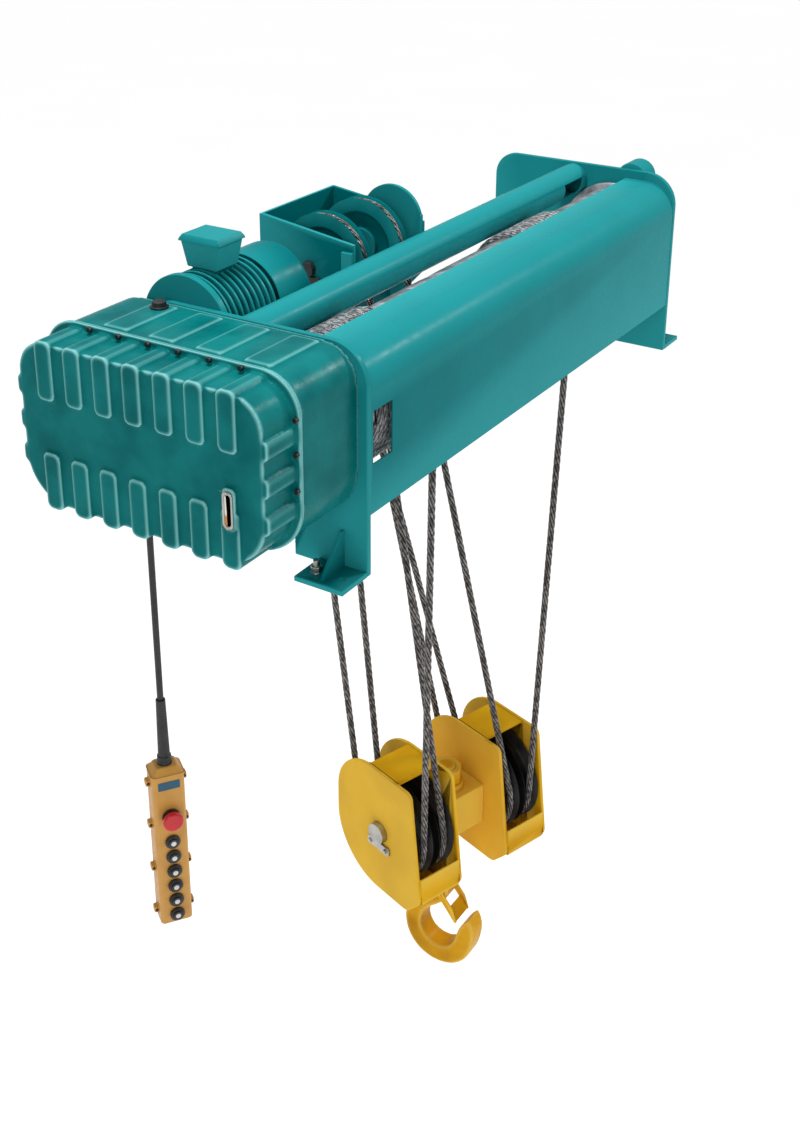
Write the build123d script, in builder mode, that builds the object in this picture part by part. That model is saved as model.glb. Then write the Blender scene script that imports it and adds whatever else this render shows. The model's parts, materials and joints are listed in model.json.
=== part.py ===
from build123d import *
import os
from math import atan2, cos, degrees, hypot, pi, radians, sin, sqrt

# Electric wire rope hoist, in millimetres.
# X runs along the drum from the gear end to the far end, Y from the drum cover to the motor, Z is up.
# The origin is the middle of the foot bolt pattern, on the underside of the feet.

PLATE_SPAN = 2160.0
PLATE_WIDTH = 770.0
PLATE_TOP = 705.0
PLATE_THICK = 20.0
NEAR = -PLATE_SPAN / 2
FAR = PLATE_SPAN / 2
FRONT = -PLATE_WIDTH / 2
BACK = PLATE_WIDTH / 2

FOOT_OUT = 130.0
FOOT_LONG = 166.0
FOOT_THICK = 16.0
FOOT_HOLE_OUT = 75.0
FOOT_HOLE_OUTER = 40.0
FOOT_HOLE_INNER = 125.0
FOOT_HOLE_R = 11.0

ROPE_D = 22.0
END_GAP = 2.5
DRUM_Y = FRONT + 235.0
DRUM_Z = 440.0
DRUM_R = 188.5
DRUM_PITCH_R = 200.0
DRUM_END = 40.0
WIND_PITCH = 25.0
WIND_TURNS = 13
LEAD_LEFT = -660.0
LEAD_RIGHT = 260.0

MOTOR_Y = FRONT + 650.0
MOTOR_Z = 630.0
BEAM_Y = FRONT + 425.0
BEAM_Z = 640.0
BEAM_R = 60.0

UPPER_Y = FRONT + 660.0
UPPER_Z = 630.0
UPPER_R = 150.0
UPPER_X = (-310.0, -90.0)
FRAME_MID = -200.0
FRAME_HALF = 215.0

BLOCK_X = -180.0
BLOCK_Y = FRONT + 240.0
BLOCK_Z = -1455.0
BLOCK_TURN = 18.0
LOWER_R = 180.0
HOUSING_OFF = 215.0
HOUSING_HALF = 105.0
HOUSING_T = 14.0
SHEAVE_OFF = 48.0
HOOK_Z = BLOCK_Z - 605.0

CASE_DEPTH = 270.0
COVER_DEPTH = 160.0
CASE_Y0 = FRONT + 30.0
CASE_Y1 = FRONT + 905.0
CASE_Z0 = 182.0
CASE_Z1 = 700.0
CASE_WALL = 12.0
PAD_RISE = 8.0
COVER_FACE = NEAR - CASE_DEPTH - COVER_DEPTH
PADS_ALONG = 7
PADS_UP = 3
RIB_PITCH = 106.0
RIB_WIDE = 62.0
GAUGE_Y = CASE_Y0 + 118.0
GAUGE_Z = CASE_Z0 + 180.0
BREATHER_X = NEAR - 60.0
BREATHER_Y = CASE_Y0 + 645.0

TEETH_MOTOR = 20
TEETH_LAY_WHEEL = 100
TEETH_LAY_PINION = 24
TEETH_DRUM = 72
MODULE_1 = 4.0
MODULE_2 = 5.0
LAY_BOSS_R = 46.0
LAY_BORE_R = 25.05

PEND_X = NEAR - 235.0
PEND_Y = FRONT + 610.0
PEND_TURN = 35.0
CABLE_D = 20.0
CABLE_TOP = CASE_Z0 - 34.0
CABLE_LOW = -505.0
CABLE_INTO = 2.0
SLEEVE_GRIP = 6.0
SLEEVE_LOW = -700.0
CASE_TOP = -740.0
CASE_LOW = -1340.0
PEND_W = 105.0
PEND_D = 84.0
BUTTON_PITCH = 58.0
BUTTON_FIRST = -1015.0
ESTOP_Z = -918.0
LABEL_Z = -800.0

os.makedirs("parts", exist_ok=True)


def keep(builder, label):
    builder.part.label = label
    export_step(builder.part, f"parts/{label}.step")
    solids = builder.part.solids()
    print(label, len(solids), "solid(s)", round(builder.part.volume / 1000.0), "cm3")


def keep_turned(builder, label):
    """Turns a piece of the hook block about the upright line through the block, then keeps it."""
    with BuildPart() as turned:
        add(builder.part.rotate(Axis((BLOCK_X, BLOCK_Y, 0), (0, 0, 1)), -BLOCK_TURN))
    keep(turned, label)


def block_point(x, y, z):
    """Where a point of the block is once the block has been turned."""
    a = radians(BLOCK_TURN)
    dx = x - BLOCK_X
    dy = y - BLOCK_Y
    return (BLOCK_X + dx * cos(a) + dy * sin(a), BLOCK_Y - dx * sin(a) + dy * cos(a), z)


def along_x(x):
    return Plane.YZ.offset(x)


def tangent(c1, r1, c2, r2, side):
    """Touching points of the straight rope on the given side (-1 front, 1 back) of two circles."""
    dy = c2[0] - c1[0]
    dz = c2[1] - c1[1]
    gap = hypot(dy, dz)
    ey, ez = dy / gap, dz / gap
    lean = (r1 - r2) / gap
    rise = sqrt(1.0 - lean * lean)
    py, pz = -ez, ey
    if py * side < 0:
        py, pz = -py, -pz
    ny = ey * lean + py * rise
    nz = ez * lean + pz * rise
    return (c1[0] + r1 * ny, c1[1] + r1 * nz), (c2[0] + r2 * ny, c2[1] + r2 * nz)


def disc_at(start, end, radius):
    """Round section just past start, square to the line toward end, and the length left for the bar."""
    way = Vector(*end) - Vector(*start)
    first = Vector(*start) + way.normalized() * END_GAP
    with BuildSketch(Plane(origin=first, z_dir=way)) as section:
        Circle(radius)
    return section.sketch, way.length - 2 * END_GAP


def arc_section(x, centre, radius, start, diameter=ROPE_D):
    """Round section at the given angle (degrees, from +Y to +Z) about the X axis through centre."""
    a = radians(start)
    out = (0, cos(a), sin(a))
    plane = Plane(origin=(x, centre[0], centre[1]), x_dir=out, z_dir=(0, -sin(a), cos(a)))
    with BuildSketch(plane) as section:
        with Locations((radius, 0)):
            Circle(diameter / 2)
    return section.sketch


def x_axis_at(centre):
    return Axis((0, centre[0], centre[1]), (1, 0, 0))


def angle_of(point, centre):
    return degrees(atan2(point[1] - centre[1], point[0] - centre[0]))


DRUM_C = (DRUM_Y, DRUM_Z)
UPPER_C = (UPPER_Y, UPPER_Z)
BLOCK_C = (BLOCK_Y, BLOCK_Z)
ROCKER_Z = 372.0
ROCKER_Y = UPPER_Y
ROCKER_HALF = 62.0
ROCKER_TALL = 46.0
LOWER_X = [BLOCK_X - HOUSING_OFF - SHEAVE_OFF, BLOCK_X - HOUSING_OFF + SHEAVE_OFF,
           BLOCK_X + HOUSING_OFF - SHEAVE_OFF, BLOCK_X + HOUSING_OFF + SHEAVE_OFF]
DRUM_TAN, BLOCK_FROM_DRUM = tangent(DRUM_C, DRUM_PITCH_R, BLOCK_C, LOWER_R, -1)
UPPER_FRONT, BLOCK_FRONT = tangent(UPPER_C, UPPER_R, BLOCK_C, LOWER_R, -1)
UPPER_BACK, BLOCK_BACK = tangent(UPPER_C, UPPER_R, BLOCK_C, LOWER_R, 1)
ROCKER_POINT, BLOCK_DEAD = tangent((ROCKER_Y, ROCKER_Z), 0.0, BLOCK_C, LOWER_R, 1)

# Gear centres: the layshaft sits below the line from the motor to the drum.
GEAR_C1 = (TEETH_MOTOR + TEETH_LAY_WHEEL) * MODULE_1 / 2
GEAR_C2 = (TEETH_LAY_PINION + TEETH_DRUM) * MODULE_2 / 2
SPAN_Y = MOTOR_Y - DRUM_Y
SPAN_Z = MOTOR_Z - DRUM_Z
SPAN = hypot(SPAN_Y, SPAN_Z)
ALONG = (GEAR_C2 ** 2 - GEAR_C1 ** 2 + SPAN ** 2) / (2 * SPAN)
DOWN = sqrt(GEAR_C2 ** 2 - ALONG ** 2)
LAY_Y = DRUM_Y + ALONG * SPAN_Y / SPAN + DOWN * SPAN_Z / SPAN
LAY_Z = DRUM_Z + ALONG * SPAN_Z / SPAN - DOWN * SPAN_Y / SPAN
print("layshaft", round(LAY_Y, 3), round(LAY_Z, 3))


# ---------------------------------------------------------------- fixed frame
def end_plate(x, label):
    """Full-height end plate with rounded top corners, an arch below and bores for the shafts."""
    near_end = x < 0
    with BuildPart() as plate:
        with BuildSketch(along_x(x)):
            with BuildLine():
                FilletPolyline((FRONT, 0), (BACK, 0), (BACK, PLATE_TOP), (FRONT, PLATE_TOP),
                               radius=[0, 0, 90, 120], close=True)
            make_face()
            with Locations((20, 60)):
                RectangleRounded(300, 150, 60, mode=Mode.SUBTRACT)
            with Locations((20, 10)):
                Rectangle(300, 60, mode=Mode.SUBTRACT)
            with Locations((DRUM_Y, DRUM_Z)):
                Circle(60.0, mode=Mode.SUBTRACT)
            if near_end:
                with Locations((MOTOR_Y, MOTOR_Z)):
                    Circle(40.0, mode=Mode.SUBTRACT)
        extrude(amount=PLATE_THICK)
    keep(plate, label)


def feet():
    """Four flat feet with gussets; each has two bolt holes."""
    with BuildPart() as part:
        for end in (-1, 1):
            wall = end * PLATE_SPAN / 2
            for side in (-1, 1):
                edge = side * PLATE_WIDTH / 2
                mid_y = edge - side * FOOT_LONG / 2
                mid_x = wall + end * FOOT_OUT / 2
                with BuildSketch(Plane.XY):
                    with Locations((mid_x, mid_y)):
                        Rectangle(FOOT_OUT, FOOT_LONG)
                    for inset in (FOOT_HOLE_OUTER, FOOT_HOLE_INNER):
                        with Locations((wall + end * FOOT_HOLE_OUT, edge - side * inset)):
                            Circle(FOOT_HOLE_R, mode=Mode.SUBTRACT)
                extrude(amount=FOOT_THICK)
                with BuildSketch(Plane.XZ.offset(-(edge - side * 84.0))):
                    with BuildLine():
                        Polyline((wall, FOOT_THICK), (wall + end * 112, FOOT_THICK),
                                 (wall + end * 14, 130), (wall, 130), close=True)
                    make_face()
                extrude(amount=6, both=True)
    keep(part, "mounting_feet")


def foot_studs():
    """A stud, nut and washer in the inner hole of each foot."""
    with BuildPart() as part:
        for end in (-1, 1):
            for side in (-1, 1):
                x = end * (PLATE_SPAN / 2 + FOOT_HOLE_OUT)
                y = side * (PLATE_WIDTH / 2 - FOOT_HOLE_INNER)
                with BuildSketch(Plane.XY.offset(-30)):
                    with Locations((x, y)):
                        Circle(10)
                extrude(amount=30 + FOOT_THICK + 40)
                with BuildSketch(Plane.XY.offset(FOOT_THICK)):
                    with Locations((x, y)):
                        Circle(19)
                extrude(amount=3)
                with BuildSketch(Plane.XY.offset(FOOT_THICK + 3)):
                    with Locations((x, y)):
                        RegularPolygon(17.3, 6)
                extrude(amount=18)
    keep(part, "foot_studs")


def main_beam():
    """Round tube that ties the end plates together behind the drum."""
    with BuildPart() as part:
        with BuildSketch(along_x(NEAR + PLATE_THICK)):
            with Locations((BEAM_Y, BEAM_Z)):
                Circle(BEAM_R)
                Circle(BEAM_R - 9, mode=Mode.SUBTRACT)
        extrude(amount=PLATE_SPAN - 2 * PLATE_THICK)
        with BuildSketch(along_x(FAR - PLATE_THICK - 190)):
            with Locations((BEAM_Y - BEAM_R, BEAM_Z - 35)):
                Rectangle(110, 110)
        extrude(amount=150, mode=Mode.SUBTRACT)
    keep(part, "main_beam")


COVER_T = 5.0
COVER_LOW = 190.0
COVER_TOP = 672.0
COVER_LIP = FRONT + 205.0
COVER_R = 115.0
WINDOW_X = (NEAR + 34.0, NEAR + 134.0)
WINDOW_Z = (345.0, 505.0)


def drum_cover():
    """Bent sheet over the front of the drum, open along the top and below, with a window near one end."""
    with BuildPart() as part:
        with BuildSketch(along_x(NEAR + PLATE_THICK)):
            with BuildLine():
                FilletPolyline((FRONT + 2, COVER_LOW), (FRONT + 2, COVER_TOP), (COVER_LIP, COVER_TOP),
                               (COVER_LIP, COVER_TOP - COVER_T),
                               (FRONT + 2 + COVER_T, COVER_TOP - COVER_T), (FRONT + 2 + COVER_T, COVER_LOW),
                               radius=[0, COVER_R, 0, 0, COVER_R - COVER_T, 0], close=True)
            make_face()
        extrude(amount=PLATE_SPAN - 2 * PLATE_THICK)
        with BuildSketch(Plane.XZ.offset(-(FRONT + 12))):
            with Locations(((WINDOW_X[0] + WINDOW_X[1]) / 2, (WINDOW_Z[0] + WINDOW_Z[1]) / 2)):
                Rectangle(WINDOW_X[1] - WINDOW_X[0], WINDOW_Z[1] - WINDOW_Z[0])
        extrude(amount=30, mode=Mode.SUBTRACT)
    keep(part, "drum_cover")


FRAME_Y0 = BEAM_Y + BEAM_R + 1.0
FRAME_Y1 = UPPER_Y + UPPER_R + 36.0
FRAME_TOP = 786.0
FRAME_LOW = 410.0
FRAME_T = 14.0
SHEAVE_RIM = 165.0
SHEAVE_HALF = 25.0
UPPER_PIN_R = 25.0


def sheave_frame():
    """Open-topped box behind the beam that carries the upper sheaves; its far plate has a round lobe."""
    with BuildPart() as part:
        for x, lobe in ((FRAME_MID - FRAME_HALF, False), (FRAME_MID + FRAME_HALF - FRAME_T, True)):
            with BuildSketch(along_x(x)):
                with BuildLine():
                    FilletPolyline((FRAME_Y0, FRAME_LOW + 120), (FRAME_Y0 + 110, FRAME_LOW),
                                   (FRAME_Y1, FRAME_LOW), (FRAME_Y1, FRAME_TOP), (FRAME_Y0, FRAME_TOP - 50),
                                   radius=[0, 40, 0, 0, 0], close=True)
                make_face()
                if lobe:
                    with Locations((FRAME_Y0 + 119, FRAME_TOP - 78)):
                        Circle(118)
                with Locations(UPPER_C):
                    Circle(UPPER_PIN_R, mode=Mode.SUBTRACT)
            extrude(amount=FRAME_T)
        with BuildSketch(Plane.XZ.offset(-FRAME_Y1)):
            with Locations((FRAME_MID, (FRAME_LOW + FRAME_TOP) / 2)):
                Rectangle(2 * FRAME_HALF, FRAME_TOP - FRAME_LOW)
        extrude(amount=-12)
        with BuildSketch(along_x(FRAME_MID - FRAME_HALF)):
            with Locations((UPPER_Y, FRAME_LOW + 24)):
                Rectangle(90, 36)
        extrude(amount=2 * FRAME_HALF)
        for y in (UPPER_Y - 26, UPPER_Y + 14):
            with BuildSketch(Plane.XZ.offset(-y)):
                with Locations((FRAME_MID, ROCKER_Z + 18)):
                    Rectangle(56, 84)
                with Locations((FRAME_MID, ROCKER_Z)):
                    Circle(12.0, mode=Mode.SUBTRACT)
            extrude(amount=-12)
        for x in (FRAME_MID - FRAME_HALF - 12, FRAME_MID + FRAME_HALF):
            with BuildSketch(along_x(x)):
                with Locations((FRAME_Y0 + 20, FRAME_TOP - 150)):
                    Rectangle(40, 150)
            extrude(amount=12)
    keep(part, "sheave_frame")


def sheave_profile(x, centre, groove_r, rim_r, bore_r, half, flare):
    """Half section of one grooved sheave, to be turned about the X axis; flare widens the groove."""
    with BuildSketch(Plane(origin=(x, centre[0], centre[1]), x_dir=(0, 1, 0), z_dir=(0, 0, 1))) as section:
        with BuildLine():
            Polyline((bore_r, -half), (bore_r, half), (62, half), (62, 9), (groove_r - 45, 9),
                     (groove_r - 30, half - 1), (rim_r, half - 1), (rim_r, half - 3),
                     (groove_r - 4, 13 + flare),
                     (groove_r - 12, 6 + flare), (groove_r - 12, -6 - flare),
                     (groove_r - 4, -13 - flare), (rim_r, 3 - half),
                     (rim_r, 1 - half), (groove_r - 30, 1 - half), (groove_r - 45, -9), (62, -9),
                     (62, -half), close=True)
        make_face()
    return section.sketch


def upper_sheaves():
    with BuildPart() as part:
        for x in UPPER_X:
            section = sheave_profile(x, UPPER_C, UPPER_R, SHEAVE_RIM, UPPER_PIN_R + 0.05, SHEAVE_HALF, 0.0)
            revolve(section, axis=x_axis_at(UPPER_C))
    keep(part, "upper_sheaves")


def upper_shaft():
    """Fixed shaft of the upper sheaves with its keeper plates, and the pin of the rocker."""
    with BuildPart() as part:
        reach = FRAME_HALF + 18
        with BuildSketch(along_x(FRAME_MID - reach)):
            with Locations(UPPER_C):
                Circle(UPPER_PIN_R)
        extrude(amount=2 * reach)
        for x in (FRAME_MID - FRAME_HALF - 8, FRAME_MID + FRAME_HALF):
            with BuildSketch(along_x(x)):
                with Locations((UPPER_Y, UPPER_Z - UPPER_PIN_R - 12)):
                    Rectangle(90, 22)
            extrude(amount=8)
        with BuildSketch(Plane.XZ.offset(-(UPPER_Y - 34))):
            with Locations((FRAME_MID, ROCKER_Z)):
                Circle(12.0)
        extrude(amount=-68)
    keep(part, "upper_frame_pins")


def rocker():
    """Bar that joins the two dead rope ends and rocks on a pin."""
    with BuildPart() as part:
        with BuildSketch(Plane.XZ.offset(-(UPPER_Y - 11))):
            with Locations((FRAME_MID, ROCKER_Z)):
                SlotCenterToCenter(2 * ROCKER_HALF, ROCKER_TALL)
            with Locations((FRAME_MID, ROCKER_Z)):
                Circle(12.05, mode=Mode.SUBTRACT)
        extrude(amount=-22)
    keep(part, "equaliser_rocker")


def bearing_housing():
    """Round cap on the outside of the far plate around the end of the drum shaft, and its bolts."""
    with BuildPart() as part:
        with BuildSketch(along_x(FAR)):
            with Locations(DRUM_C):
                Circle(150)
                Circle(41, mode=Mode.SUBTRACT)
        extrude(amount=24)
        with BuildSketch(along_x(FAR + 24)):
            with Locations(DRUM_C):
                Circle(104)
                Circle(41, mode=Mode.SUBTRACT)
        extrude(amount=66)
        with BuildSketch(along_x(FAR + 90)):
            with Locations(DRUM_C):
                Circle(104)
        extrude(amount=12)
        with BuildSketch(along_x(FAR + 24)):
            with Locations(DRUM_C):
                with PolarLocations(128, 8):
                    RegularPolygon(12, 6)
        extrude(amount=10)
    keep(part, "drum_bearing_housing")


LIMIT_R = 62.0


def limit_switch_drum():
    """Round limit switch case that stands on the outside of the far plate near its front top corner."""
    with BuildPart() as part:
        with BuildSketch(along_x(FAR)):
            with Locations((FRONT + 190, PLATE_TOP - 40)):
                Circle(LIMIT_R)
        extrude(amount=95)
        with BuildSketch(along_x(FAR + 95)):
            with Locations((FRONT + 190, PLATE_TOP - 40)):
                Circle(LIMIT_R - 8)
        extrude(amount=10)
    keep(part, "limit_switch_case")


# ---------------------------------------------------------------- gear case
def case_outline(x, grow):
    """Rounded outline of the case, made larger all round by grow."""
    with BuildSketch(along_x(x)) as outline:
        with BuildLine():
            FilletPolyline((CASE_Y0 - grow, CASE_Z0 - grow), (CASE_Y1 + grow, CASE_Z0 - grow),
                           (CASE_Y1 + grow, CASE_Z1 + grow), (CASE_Y0 - grow, CASE_Z1 + grow),
                           radius=[150 + grow, 150 + grow, 110 + grow, 110 + grow], close=True)
        make_face()
    return outline.sketch


def gear_case():
    """Hollow case on the near plate with raised pads on top and bosses for the layshaft."""
    with BuildPart() as part:
        extrude(case_outline(NEAR - CASE_DEPTH, 0), amount=CASE_DEPTH)
        inside = case_outline(NEAR - CASE_DEPTH, -CASE_WALL)
        extrude(inside, amount=CASE_DEPTH - CASE_WALL, mode=Mode.SUBTRACT)
        for k in range(4):
            y = CASE_Y0 + 150 + k * 165
            with BuildSketch(Plane.XY.offset(CASE_Z1 - 1)):
                with Locations((NEAR - CASE_DEPTH / 2 - 4, y)):
                    RectangleRounded(CASE_DEPTH - 40, 96, 12)
            extrude(amount=1 + PAD_RISE, taper=18)
        with BuildSketch(along_x(NEAR - 60)):
            with Locations((LAY_Y, LAY_Z)):
                Circle(LAY_BOSS_R)
        extrude(amount=60 - CASE_WALL)
        for centre, r in ((DRUM_C, 60.0), ((MOTOR_Y, MOTOR_Z), 40.0)):
            with BuildSketch(along_x(NEAR - CASE_WALL)):
                with Locations(centre):
                    Circle(r)
            extrude(amount=CASE_WALL, mode=Mode.SUBTRACT)
        with BuildSketch(along_x(NEAR - 60)):
            with Locations((LAY_Y, LAY_Z)):
                Circle(LAY_BORE_R)
        extrude(amount=60 - CASE_WALL / 2, mode=Mode.SUBTRACT)
        with BuildSketch(Plane.XY.offset(CASE_Z0 - 1)):
            with Locations((PEND_X, PEND_Y)):
                Circle(12)
        extrude(amount=CASE_WALL + 2, mode=Mode.SUBTRACT)
        with BuildSketch(Plane.XY.offset(CASE_Z1 - CASE_WALL - 2)):
            with Locations((BREATHER_X, BREATHER_Y)):
                Circle(17.02)
        extrude(amount=CASE_WALL + 14, mode=Mode.SUBTRACT)
    keep(part, "gear_case")


def gear_cover():
    """Hollow cover with a flange, pads round its sides and upright ribs above and below a smooth band."""
    mid_y = (CASE_Y0 + CASE_Y1) / 2
    mid_z = (CASE_Z0 + CASE_Z1) / 2
    with BuildPart() as part:
        extrude(case_outline(COVER_FACE + 12, -14), amount=COVER_DEPTH - 12)
        for k in range(PADS_ALONG):
            y = mid_y + (k - (PADS_ALONG - 1) / 2) * RIB_PITCH
            for low, high in ((CASE_Z0 + 2, mid_z - 80), (mid_z + 80, CASE_Z1 - 2)):
                with BuildSketch(along_x(COVER_FACE)):
                    with Locations((y, (low + high) / 2)):
                        RectangleRounded(RIB_WIDE, high - low, 20)
                extrude(amount=COVER_DEPTH)
        for k in range(PADS_UP):
            z = mid_z + (k - (PADS_UP - 1) / 2) * RIB_PITCH
            with BuildSketch(along_x(COVER_FACE + 14)):
                with Locations((mid_y, z)):
                    RectangleRounded(CASE_Y1 - CASE_Y0, RIB_WIDE, 20)
            extrude(amount=COVER_DEPTH - 14)
        extrude(case_outline(NEAR - CASE_DEPTH - 16, 10), amount=16)
        extrude(case_outline(COVER_FACE + 24, -30), amount=COVER_DEPTH, mode=Mode.SUBTRACT)
        with BuildSketch(along_x(COVER_FACE + 23)):
            with Locations((LAY_Y, LAY_Z)):
                Circle(LAY_BOSS_R)
                Circle(LAY_BORE_R, mode=Mode.SUBTRACT)
        extrude(amount=42)
        with BuildSketch(along_x(COVER_FACE - 5)):
            with Locations((GAUGE_Y, GAUGE_Z)):
                RectangleRounded(44, 122, 16)
        extrude(amount=30)
        with BuildSketch(along_x(COVER_FACE - 6)):
            with Locations((GAUGE_Y, GAUGE_Z)):
                RectangleRounded(22, 92, 10)
        extrude(amount=12, mode=Mode.SUBTRACT)
    keep(part, "gear_cover")


def bolts_and_gauge():
    """Cover bolts seated on the flange lugs, and the oil gauge with its glass."""
    lug = NEAR - CASE_DEPTH
    mid_y = (CASE_Y0 + CASE_Y1) / 2
    with BuildPart() as bolts:
        for k in range(7):
            y = mid_y + (k - 3) * RIB_PITCH + (RIB_PITCH / 2 if k < 3 else -RIB_PITCH / 2)
            if k == 3:
                continue
            for z in (CASE_Z0 - 1, CASE_Z1 + 1):
                with BuildSketch(along_x(lug - 28)):
                    with Locations((y, z)):
                        RegularPolygon(8.5, 6)
                extrude(amount=12)
        for y in (CASE_Y0 - 1, CASE_Y1 + 1):
            for rise in (-53, 53, 152):
                with BuildSketch(along_x(lug - 28)):
                    with Locations((y, (CASE_Z0 + CASE_Z1) / 2 + rise)):
                        RegularPolygon(8.5, 6)
                extrude(amount=12)
    keep(bolts, "gear_cover_bolts")
    with BuildPart() as glass:
        with BuildSketch(along_x(COVER_FACE - 3)):
            with Locations((GAUGE_Y, GAUGE_Z)):
                RectangleRounded(21, 91, 10)
        extrude(amount=8.5)
    keep(glass, "oil_gauge_glass")
    with BuildPart() as frame:
        with BuildSketch(along_x(COVER_FACE - 9)):
            with Locations((GAUGE_Y, GAUGE_Z)):
                RectangleRounded(34, 108, 14)
                RectangleRounded(21, 91, 10, mode=Mode.SUBTRACT)
        extrude(amount=4)
        for z in (GAUGE_Z - 50, GAUGE_Z + 50):
            with BuildSketch(along_x(COVER_FACE - 12)):
                with Locations((GAUGE_Y, z)):
                    Circle(4)
            extrude(amount=3)
    keep(frame, "oil_gauge_frame")


def breather():
    """Breather plug on the top of the case near the back."""
    with BuildPart() as part:
        seat = CASE_Z1 + PAD_RISE
        for low, r, high in ((CASE_Z1 - 14, 17, 14 + PAD_RISE), (seat, 28, 6), (seat + 6, 21, 14)):
            with BuildSketch(Plane.XY.offset(low)):
                with Locations((BREATHER_X, BREATHER_Y)):
                    Circle(r)
            extrude(amount=high)
    keep(part, "breather_plug")


def cable_gland():
    """Gland under the case where the pendant cable comes out."""
    with BuildPart() as part:
        for low, high, r, sides in ((CASE_Z0 - 12, CASE_Z0, 23, 6), (CASE_Z0 - 34, CASE_Z0 - 12, 18, 0),
                                    (CASE_Z0, CASE_Z0 + 14, 11.9, 0)):
            with BuildSketch(Plane.XY.offset(low)):
                with Locations((PEND_X, PEND_Y)):
                    if sides:
                        RegularPolygon(r, sides)
                    else:
                        Circle(r)
            extrude(amount=high - low)
        with BuildSketch(Plane.XY.offset(CASE_Z0 - 40)):
            with Locations((PEND_X, PEND_Y)):
                Circle(CABLE_D / 2 + 0.2)
        extrude(amount=26, mode=Mode.SUBTRACT)
        with BuildSketch(Plane.XY.offset(CABLE_TOP)):
            with Locations((PEND_X, PEND_Y)):
                Circle(CABLE_D / 2 + 3)
        extrude(amount=8, mode=Mode.SUBTRACT)
    keep(part, "cable_gland")


# ---------------------------------------------------------------- gears and motor
def gear_outline(teeth, module, turn):
    """Closed outline of an involute gear; turn is the angle of one tooth centre in radians."""
    pitch_r = teeth * module / 2
    base_r = pitch_r * cos(radians(20))
    tip_r = pitch_r + module
    root_r = pitch_r - 1.25 * module
    inv20 = sin(radians(20)) / cos(radians(20)) - radians(20)
    half_at_pitch = pi / (2 * teeth) * 0.97
    points = []
    for k in range(teeth):
        centre = turn + 2 * pi * k / teeth
        flank = []
        for r in (max(base_r, root_r), (base_r + pitch_r) / 2, pitch_r, tip_r):
            press = sqrt(max(1 - (base_r / r) ** 2, 0))
            inv = press / sqrt(1 - press * press) - atan2(press, sqrt(1 - press * press))
            flank.append((r, half_at_pitch + inv20 - inv))
        flank.insert(0, (root_r, flank[0][1] + 0.15 / teeth))
        ring = [(r, centre - a) for r, a in flank] + [(r, centre + a) for r, a in reversed(flank)]
        points += [(r * cos(a), r * sin(a)) for r, a in ring]
    return points


PHI_LAY_MOTOR = atan2(MOTOR_Z - LAY_Z, MOTOR_Y - LAY_Y)
PHI_LAY_DRUM = atan2(DRUM_Z - LAY_Z, DRUM_Y - LAY_Y)
STAGE_1 = NEAR - 250.0
STAGE_1_FACE = 54.0
STAGE_2 = NEAR - 150.0
STAGE_2_FACE = 74.0
LAY_R = 25.0


def gears():
    """Two pairs of spur gears: motor pinion on the layshaft wheel, layshaft pinion on the drum gear."""
    with BuildPart() as wheel:
        with BuildSketch(Plane(origin=(STAGE_1, LAY_Y, LAY_Z), x_dir=(0, 1, 0), z_dir=(1, 0, 0))):
            with BuildLine():
                Polyline(*gear_outline(TEETH_LAY_WHEEL, MODULE_1, PHI_LAY_MOTOR), close=True)
            make_face()
            Circle(LAY_R, mode=Mode.SUBTRACT)
            with PolarLocations(105, 5):
                Circle(38, mode=Mode.SUBTRACT)
        extrude(amount=STAGE_1_FACE)
    keep(wheel, "layshaft_gear")
    with BuildPart() as shaft:
        with BuildSketch(along_x(COVER_FACE + 26)):
            with Locations((LAY_Y, LAY_Z)):
                Circle(LAY_R)
        extrude(amount=CASE_DEPTH + COVER_DEPTH - 26 - 8)
        with BuildSketch(Plane(origin=(STAGE_2 - 2, LAY_Y, LAY_Z), x_dir=(0, 1, 0), z_dir=(1, 0, 0))):
            with BuildLine():
                Polyline(*gear_outline(TEETH_LAY_PINION, MODULE_2, PHI_LAY_DRUM), close=True)
            make_face()
        extrude(amount=STAGE_2_FACE + 4)
    keep(shaft, "layshaft")
    with BuildPart() as drum_gear:
        turn = PHI_LAY_DRUM + pi + pi / TEETH_DRUM
        with BuildSketch(Plane(origin=(STAGE_2, DRUM_Y, DRUM_Z), x_dir=(0, 1, 0), z_dir=(1, 0, 0))):
            with BuildLine():
                Polyline(*gear_outline(TEETH_DRUM, MODULE_2, turn), close=True)
            make_face()
            Circle(40, mode=Mode.SUBTRACT)
            with PolarLocations(110, 6):
                Circle(32, mode=Mode.SUBTRACT)
        extrude(amount=STAGE_2_FACE)
    keep(drum_gear, "drum_gear")


ROTOR_X0 = NEAR + 70.0
ROTOR_LEN = 190.0


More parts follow.
